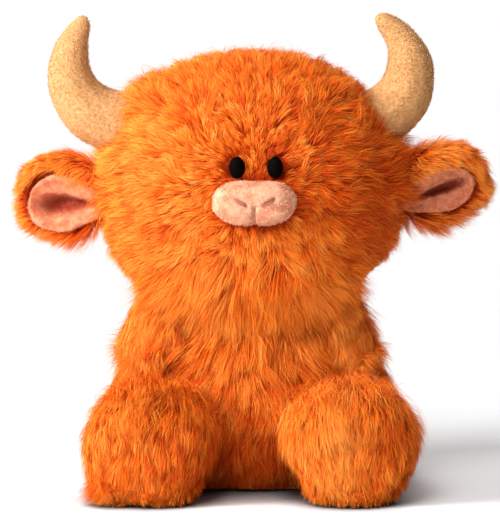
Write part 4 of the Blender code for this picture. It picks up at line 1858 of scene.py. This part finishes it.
@dataclass
class Muzzle:
    """The padded muzzle with its centre crease and two stitched nostrils."""

    centre: Point = (0.0013, -0.0632, 0.1778)
    half_width: float = 0.0247
    half_depth: float = 0.0125
    half_height: float = 0.0138
    squareness: float = 0.86
    roundness: float = 0.72
    crease_depth: float = 0.0024
    crease_half_width: float = 0.0009
    valley_half_width: float = 0.0032
    valley_share: float = 0.28
    top_dip: float = 0.0014
    dip_share: float = 0.36
    split_half_width: float = 0.0035
    split_rise: float = 0.0010
    turns: int = 96
    rings: int = 60
    thread_radius: float = 0.00031
    threads: int = 5
    stitch_spread: float = 0.0165
    stitch_length: float = 0.0085
    stitch_drop: float = 0.0045
    stitch_rise: float = 0.0015
    stitch_turns: int = 8
    stitch_points: int = 11
    stitch_gap: float = 1.7
    stitch_proud: float = 0.0006
    groove_half_width: float = 0.0016
    groove_depth: float = 0.0010
    dent: float = 0.0002
    dent_size: float = 0.006
    pile: ShortPile = ShortPile(fibres=12000, length=0.0010, width=0.00020, seed=95)

    def surface(self, x: Array, z: Array, depth: Array) -> Array:
        """Shapes the plain oval into the muzzle.

        Args:
            x: places across, about the middle.
            z: places up, about the middle.
            depth: places forward of the middle.

        Returns:
            The shaped points.
        """
        wide, high = self.half_width, self.half_height
        front = smooth_step(depth, 0.0, self.half_depth * 0.5)
        lower = smooth_step(-z, -0.0015, 0.0035)
        crease = np.exp(-((x / self.crease_half_width) ** 2)) * self.crease_depth
        valley = np.exp(-((x / self.valley_half_width) ** 2)) * self.crease_depth * self.valley_share
        shaped_depth = depth - (crease + valley) * front * lower
        dip = np.exp(-((x / (wide * self.dip_share)) ** 2)) * self.top_dip * np.clip(z / high, 0, 1)
        split = np.exp(-((x / self.split_half_width) ** 2)) * self.split_rise * np.clip(-z / high, 0, 1)
        shaped_z = z - dip + split
        for sign in (-1, 1):
            along = (sign * x - self.stitch_spread / 2) / (self.stitch_length / 2)
            line = self.stitch_rise + along * self.stitch_drop / 2
            off = (z - line) / self.groove_half_width
            groove = np.exp(-(off**2)) * np.exp(-(np.clip(np.abs(along) - 0.8, 0, None) * 4) ** 2)
            shaped_depth = shaped_depth - groove * self.groove_depth * front
        points = np.stack((x, -shaped_depth, shaped_z), axis=-1)
        return points + np.array(self.centre)

    def _oval(self) -> list[Array]:
        """Rings of the muzzle from its back to its front.

        Returns:
            The rings.
        """
        rings = []
        turn = np.linspace(0, 2 * math.pi, self.turns, endpoint=False)
        across = np.sign(np.cos(turn)) * np.abs(np.cos(turn)) ** self.squareness
        up = np.sign(np.sin(turn)) * np.abs(np.sin(turn)) ** self.squareness
        for share in np.linspace(0.02, 0.995, self.rings):
            angle = share * math.pi
            wide = math.sin(angle) ** self.roundness
            deep = -math.cos(angle)
            x = across * wide * self.half_width
            z = up * wide * self.half_height
            depth = np.full_like(x, deep * self.half_depth)
            rings.append(self.surface(x, z, depth))
        return rings

    def _front(self, x: float, z: float) -> Array:
        """The muzzle's front at a place about its middle.

        Args:
            x: the place across, about the middle.
            z: the place up, about the middle.

        Returns:
            The point on the muzzle.
        """
        across = abs(x) / self.half_width
        up = abs(z) / self.half_height
        power = 2 / self.squareness
        share = min(0.98, (across**power + up**power) ** 0.5)
        depth = math.sqrt(max(0.0, 1 - share ** (2 / self.roundness))) * self.half_depth
        return self.surface(np.array([x]), np.array([z]), np.array([depth]))[0]

    def _thread_line(self, side: Side, place: float) -> Array:
        """The middle line of one thread of a nostril.

        Args:
            side: the nostril's side.
            place: how many threads it lies above the nostril's middle.

        Returns:
            Its points, the inner end first.
        """
        off = place * self.thread_radius * self.stitch_gap
        trim = 1 - 0.10 * abs(place)
        line = []
        for share in np.linspace(-trim, trim, self.stitch_points):
            x = side.sign * (self.stitch_spread / 2 + share * self.stitch_length / 2)
            point = self._front(x, self.stitch_rise + share * self.stitch_drop / 2 + off)
            point[1] -= self.stitch_proud * (1 - abs(share) ** 3)
            line.append(point)
        return np.array(line)

    def _stitches(self, side: Side, finishes: Finishes) -> None:
        """One nostril: threads laid side by side along its slant.

        Args:
            side: which side is made.
            finishes: the toy's finishes.
        """
        points, faces = [], []
        turns = self.stitch_turns
        for thread in range(self.threads):
            line = self._thread_line(side, thread - (self.threads - 1) / 2)
            ahead = unit(np.gradient(line, axis=0))
            side_way = unit(np.cross(ahead, np.array((0.0, -1.0, 0.0))))
            up_way = np.cross(side_way, ahead)
            swell = np.interp(np.arange(len(line)), (0, 2, 8, 10), (0.55, 1, 1, 0.55))
            start = len(points)
            for index, point in enumerate(line):
                for turn in np.linspace(0, 2 * math.pi, turns, endpoint=False):
                    radius = self.thread_radius * swell[index]
                    offset = side_way[index] * math.cos(turn) + up_way[index] * math.sin(turn)
                    points.append(point + offset * radius)
            faces += ring_faces(len(line), turns, start)
            faces.append(tuple(start + turn for turn in reversed(range(turns))))
            last = start + (len(line) - 1) * turns
            faces.append(tuple(last + turn for turn in range(turns)))
        name = side.value + "_nostril"
        piece = new_object(name + "_stitches", mesh_from(name, np.array(points), faces))
        piece.data.materials.append(finishes.thread)
        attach(piece, "root")
        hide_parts(name)
        LOG.info("%s stitched", name)

    def build(self, finishes: Finishes) -> None:
        """Makes the muzzle, its pile and its nostrils.

        Args:
            finishes: the toy's finishes.
        """
        piece = new_object("muzzle_cloth", ring_mesh("muzzle_cloth", self._oval()))
        piece.data.materials.append(finishes.skin)
        dent(piece, self.dent, self.dent_size, 91)
        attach(piece, "root")
        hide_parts("muzzle")
        for side in Side:
            self._stitches(side, finishes)
        own = ("muzzle", "left_nostril", "right_nostril")
        give_pile(Drawn(piece), self.pile, own, "root", finishes.skin_pile)
        LOG.info("muzzle built")


@dataclass
class Eye:
    """A domed oval plastic eye with its rim and stem."""

    side: Side
    turns: int = 40
    lift: float = 0.0009
    depth: float = 0.0085
    rim: float = 0.0004
    stem_radius: float = 0.0020
    stem_length: float = 0.0150
    stem_tip_share: float = 0.001
    dome_rings: int = 26
    dome_roundness: float = 0.92

    def _ring(self, middle: Sequence[float], half_width: float, half_height: float) -> Array:
        """An upright oval ring of points about a middle point.

        Args:
            middle: the ring's middle.
            half_width: half its width in metres.
            half_height: half its height in metres.

        Returns:
            The ring's points.
        """
        turn = np.linspace(0, 2 * math.pi, self.turns, endpoint=False)
        ring = np.zeros((self.turns, 3))
        ring[:, 0] = middle[0] + np.cos(turn) * half_width
        ring[:, 1] = middle[1]
        ring[:, 2] = middle[2] + np.sin(turn) * half_height
        return ring

    def build(self, finishes: Finishes) -> None:
        """Makes the eye over its CAD node.

        Args:
            finishes: the toy's finishes.
        """
        node = self.side.value + "_eye"
        low, high = (np.array(corner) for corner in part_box(node))
        middle = (low + high) / 2
        half_width = (high[0] - low[0]) / 2
        half_height = (high[2] - low[2]) / 2
        centre_y = low[1] + self.depth / 2
        stem_end = centre_y + self.stem_length
        stem = ((stem_end, self.stem_tip_share), (stem_end, 1.0), (low[1] + self.depth - self.rim, 1.0))
        rings = []
        for y, share in stem:
            radius = self.stem_radius * share
            rings.append(self._ring((middle[0], y, middle[2]), radius, radius))
        for angle in np.linspace(0.14, 0.998, self.dome_rings) * math.pi:
            reach = math.sin(angle) ** self.dome_roundness
            centre = (middle[0], centre_y + math.cos(angle) * self.depth / 2, middle[2] + self.lift)
            rings.append(self._ring(centre, half_width * reach, half_height * reach))
        piece = new_object(node + "_dome", ring_mesh(node + "_dome", rings))
        piece.data.materials.append(finishes.eye)
        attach(piece, "root")
        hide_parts(node)
        LOG.info("%s built", node)


@dataclass
class KeptParts:
    """The CAD nodes that stay as they are and only get a better material."""

    cloths: tuple[str, ...] = ("seat_panel",)
    bags: tuple[str, ...] = ("pellet_bag",)
    washers: tuple[str, ...] = ("left_eye_washer", "right_eye_washer")

    def dress(self, finishes: Finishes) -> None:
        """Gives each kept node its finish.

        Args:
            finishes: the toy's finishes.
        """
        for names, finish in (
            (self.cloths, finishes.seat),
            (self.bags, finishes.bag),
            (self.washers, finishes.washer),
        ):
            for name in names:
                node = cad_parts[name]
                for index in range(len(node.material_slots)):
                    node.material_slots[index].material = finish
                LOG.info("%s dressed", name)


@dataclass(frozen=True)
class LimbTrim:
    """How the fur of one side's arm and leg is combed and trimmed."""

    leg_source: Point
    leg_spread: float
    leg_shoulder: float
    arm_fan: float
    arm_end: float
    arm_trim: float
    arm_flat: float
    # Painted light on the arm's fur, most on the right, which lies in shade.
    arm_painted_light: float


@dataclass
class Stuffed:
    """The furry stuffed pieces: body, head, arms, legs and tail."""

    left: LimbTrim = LimbTrim(
        leg_source=(-0.0540, -0.020, 0.086), leg_spread=0.55, leg_shoulder=0.05,
        arm_fan=0.60, arm_end=0.95, arm_trim=0.05, arm_flat=0.0, arm_painted_light=0.18,
    )
    right: LimbTrim = LimbTrim(
        leg_source=(0.0530, -0.020, 0.088), leg_spread=-0.25, leg_shoulder=0.25,
        arm_fan=0.10, arm_end=0.25, arm_trim=0.45, arm_flat=0.75, arm_painted_light=0.55,
    )
    arm_slant_deg: float = 22.0
    arm_root: Point = (0.048, -0.0105, 0.1045)
    arm_inset: float = 0.0038
    tail_root: Point = (0.0, 0.068, 0.056)
    tuft_root: Point = (0.0, 0.086, 0.05)

    def build(self, finishes: Finishes) -> None:
        """Makes each piece with its coat.

        Args:
            finishes: the toy's finishes.
        """
        self._trunk(finishes)
        self._limbs(Side.LEFT, self.left, finishes)
        self._limbs(Side.RIGHT, self.right, finishes)
        self._tail(finishes)

    def _trunk(self, finishes: Finishes) -> None:
        """The body and the head.

        Args:
            finishes: the toy's finishes.
        """
        body = Coat(
            strands=130000, length=0.0165, root_lift_deg=42.0, hugging_radius=0.075,
            turn_deg=25.0, clump_strands=18, clump_pull=0.50, seed=11,
        )
        FurryPiece("body", "root", body, BodyFlow(), own=("seat_panel",)).build(finishes)
        head = Coat(
            strands=190000, length=0.0165, hugging_radius=0.080,
            turn_deg=30.0, clump_strands=20, clump_pull=0.52, seed=12,
        )
        FurryPiece("head", "root", head, HeadFlow(), own=("muzzle",)).build(finishes)

    def _limbs(self, side: Side, trim: LimbTrim, finishes: Finishes) -> None:
        """One side's leg and arm.

        Args:
            side: which side is made.
            trim: how its fur is combed and trimmed.
            finishes: the toy's finishes.
        """
        leg = Coat(
            strands=42000, length=0.014, root_lift_deg=46.0, hugging_radius=0.036, seed=20 + side.sign
        )
        name = side.value + "_leg"
        flow = LimbFlow(trim.leg_source, side.sign, trim.leg_spread, trim.leg_shoulder)
        FurryPiece(name, name, leg, flow).build(finishes)
        arm = Coat(
            strands=24000, length=0.0150, root_lift_deg=40.0, hugging_radius=0.035, seed=30 + side.sign
        )
        name = side.value + "_arm"
        slant = math.radians(self.arm_slant_deg)
        along = (side.sign * math.sin(slant), -0.1, -math.cos(slant))
        root = (side.sign * self.arm_root[0], *self.arm_root[1:])
        flow = AlongFlow(
            root, along, trim.arm_fan, end_share=trim.arm_end, end_forward=0.9,
            trim_way=(side.sign * 0.95, 0.0, 0.3), trim_share=trim.arm_trim,
            flat_share=trim.arm_flat, painted_light=trim.arm_painted_light,
        )
        FurryPiece(name, name, arm, flow, inset=self.arm_inset).build(finishes)

    def _tail(self, finishes: Finishes) -> None:
        """The tail and its tuft.

        Args:
            finishes: the toy's finishes.
        """
        strand = Coat(strands=2500, length=0.008, hugging_radius=0.02, clump_strands=10, seed=51)
        flow = AlongFlow(self.tail_root, (0.0, 0.5, -1.0), 0.2)
        FurryPiece("tail", "tail", strand, flow, 0.0012, 3, 0.0006).build(finishes)
        tuft = Coat(strands=5000, length=0.014, hugging_radius=0.03, clump_strands=10, seed=52)
        flow = AlongFlow(self.tuft_root, (0.0, 0.1, -1.0), 0.35)
        FurryPiece("tail_tuft", "tail", tuft, flow, 0.0014, 3, 0.0010).build(finishes)


@dataclass(frozen=True)
class Lamp:
    """A square soft lamp."""

    name: str
    place: Point
    size: float
    power: float


@dataclass
class Studio:
    """The pale floor, the soft lamps and the camera at the photograph's angle."""

    elevation_deg: float = 8.0
    distance: float = 4.0
    target: Point = (-0.0012, 0.0, 0.1358)
    half_view: float = 0.15
    floor_half: float = 8.0
    aim: Point = (0.0, 0.0, 0.12)
    ambient: float = 0.09
    lamps: tuple[Lamp, ...] = (
        Lamp("key", (-1.68, -0.84, 1.10), 0.7, 74.0),
        Lamp("front", (-0.45, -1.35, 1.70), 1.0, 29.0),
        Lamp("back", (0.4, 1.4, 1.2), 1.0, 10.0),
    )

    def build(self) -> None:
        """Makes the floor, the lamps, the world and the camera."""
        self._floor()
        for lamp in self.lamps:
            self._hang(lamp)
        self._world()
        self._camera()

    def _floor(self) -> None:
        """A wide flat floor. Beyond it the white surround is the backdrop."""
        wide = self.floor_half
        signs = ((-1, -1), (1, -1), (1, 1), (-1, 1))
        corners = np.array([(x * wide, y * wide, 0.0) for x, y in signs])
        floor = new_object("floor", mesh_from("floor", corners, [(0, 1, 2, 3)]))
        floor.data.materials.append(FloorFinish().material())

    def _hang(self, lamp: Lamp) -> None:
        """Hangs a lamp so that it points at the toy.

        Args:
            lamp: the lamp.
        """
        light = bpy.data.lights.new(lamp.name, "AREA")
        light.shape = "SQUARE"
        light.size = lamp.size
        light.energy = lamp.power
        hung = bpy.data.objects.new(lamp.name, light)
        hung.location = lamp.place
        ahead = Vector(self.aim) - Vector(lamp.place)
        hung.rotation_euler = ahead.to_track_quat("-Z", "Y").to_euler()
        bpy.context.scene.collection.objects.link(hung)

    def _world(self) -> None:
        """A white surround to the camera, and an even grey one to everything else."""
        world = bpy.data.worlds.new("surround")
        world.use_nodes = True
        tree = world.node_tree
        ground = tree.nodes["Background"]
        seen = tree.nodes.new("ShaderNodeLightPath")
        mix = tree.nodes.new("ShaderNodeMapRange")
        tree.links.new(seen.outputs["Is Camera Ray"], mix.inputs["Value"])
        mix.inputs["To Min"].default_value = self.ambient
        mix.inputs["To Max"].default_value = 1.0
        ground.inputs["Color"].default_value = (1.0, 1.0, 1.0, 1.0)
        tree.links.new(mix.outputs[0], ground.inputs["Strength"])
        bpy.context.scene.world = world
        bpy.context.scene.view_settings.view_transform = "Standard"

    def _camera(self) -> None:
        """The camera, almost straight on and a little above."""
        data = bpy.data.cameras.new("camera")
        data.sensor_fit = "HORIZONTAL"
        data.angle = 2 * math.atan(self.half_view / self.distance)
        tilt = math.radians(self.elevation_deg)
        camera = bpy.data.objects.new("camera", data)
        back = Vector((0.0, -math.cos(tilt), math.sin(tilt))) * self.distance
        camera.location = Vector(self.target) + back
        camera.rotation_euler = (math.pi / 2 - tilt, 0.0, 0.0)
        bpy.context.scene.collection.objects.link(camera)
        bpy.context.scene.camera = camera


def main() -> None:
    """Builds the toy and the studio round it, in order."""
    logging.basicConfig(level=logging.INFO, format="%(message)s")
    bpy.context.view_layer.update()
    finishes = Finishes()
    Studio().build()
    Stuffed().build(finishes)
    ears = (
        Ear(
            Side.LEFT, rise_deg=-1.0, drop=0.0035, front_fall=2.0,
            trim_share=0.2, under_share=0.9, length=0.0096,
        ),
        Ear(
            Side.RIGHT, rise_deg=17.0, drop=0.0, front_fall=0.6,
            trim_share=0.0, under_share=0.6, length=0.0114,
        ),
    )
    horns = (Horn(Side.LEFT, lean=0.0010), Horn(Side.RIGHT, lean=-0.0003))
    for side, ear, horn in zip(Side, ears, horns):
        horn.build(finishes)
        ear.build(finishes)
        Eye(side).build(finishes)
    Muzzle().build(finishes)
    KeptParts().dress(finishes)


if __name__ == "__main__":
    main()
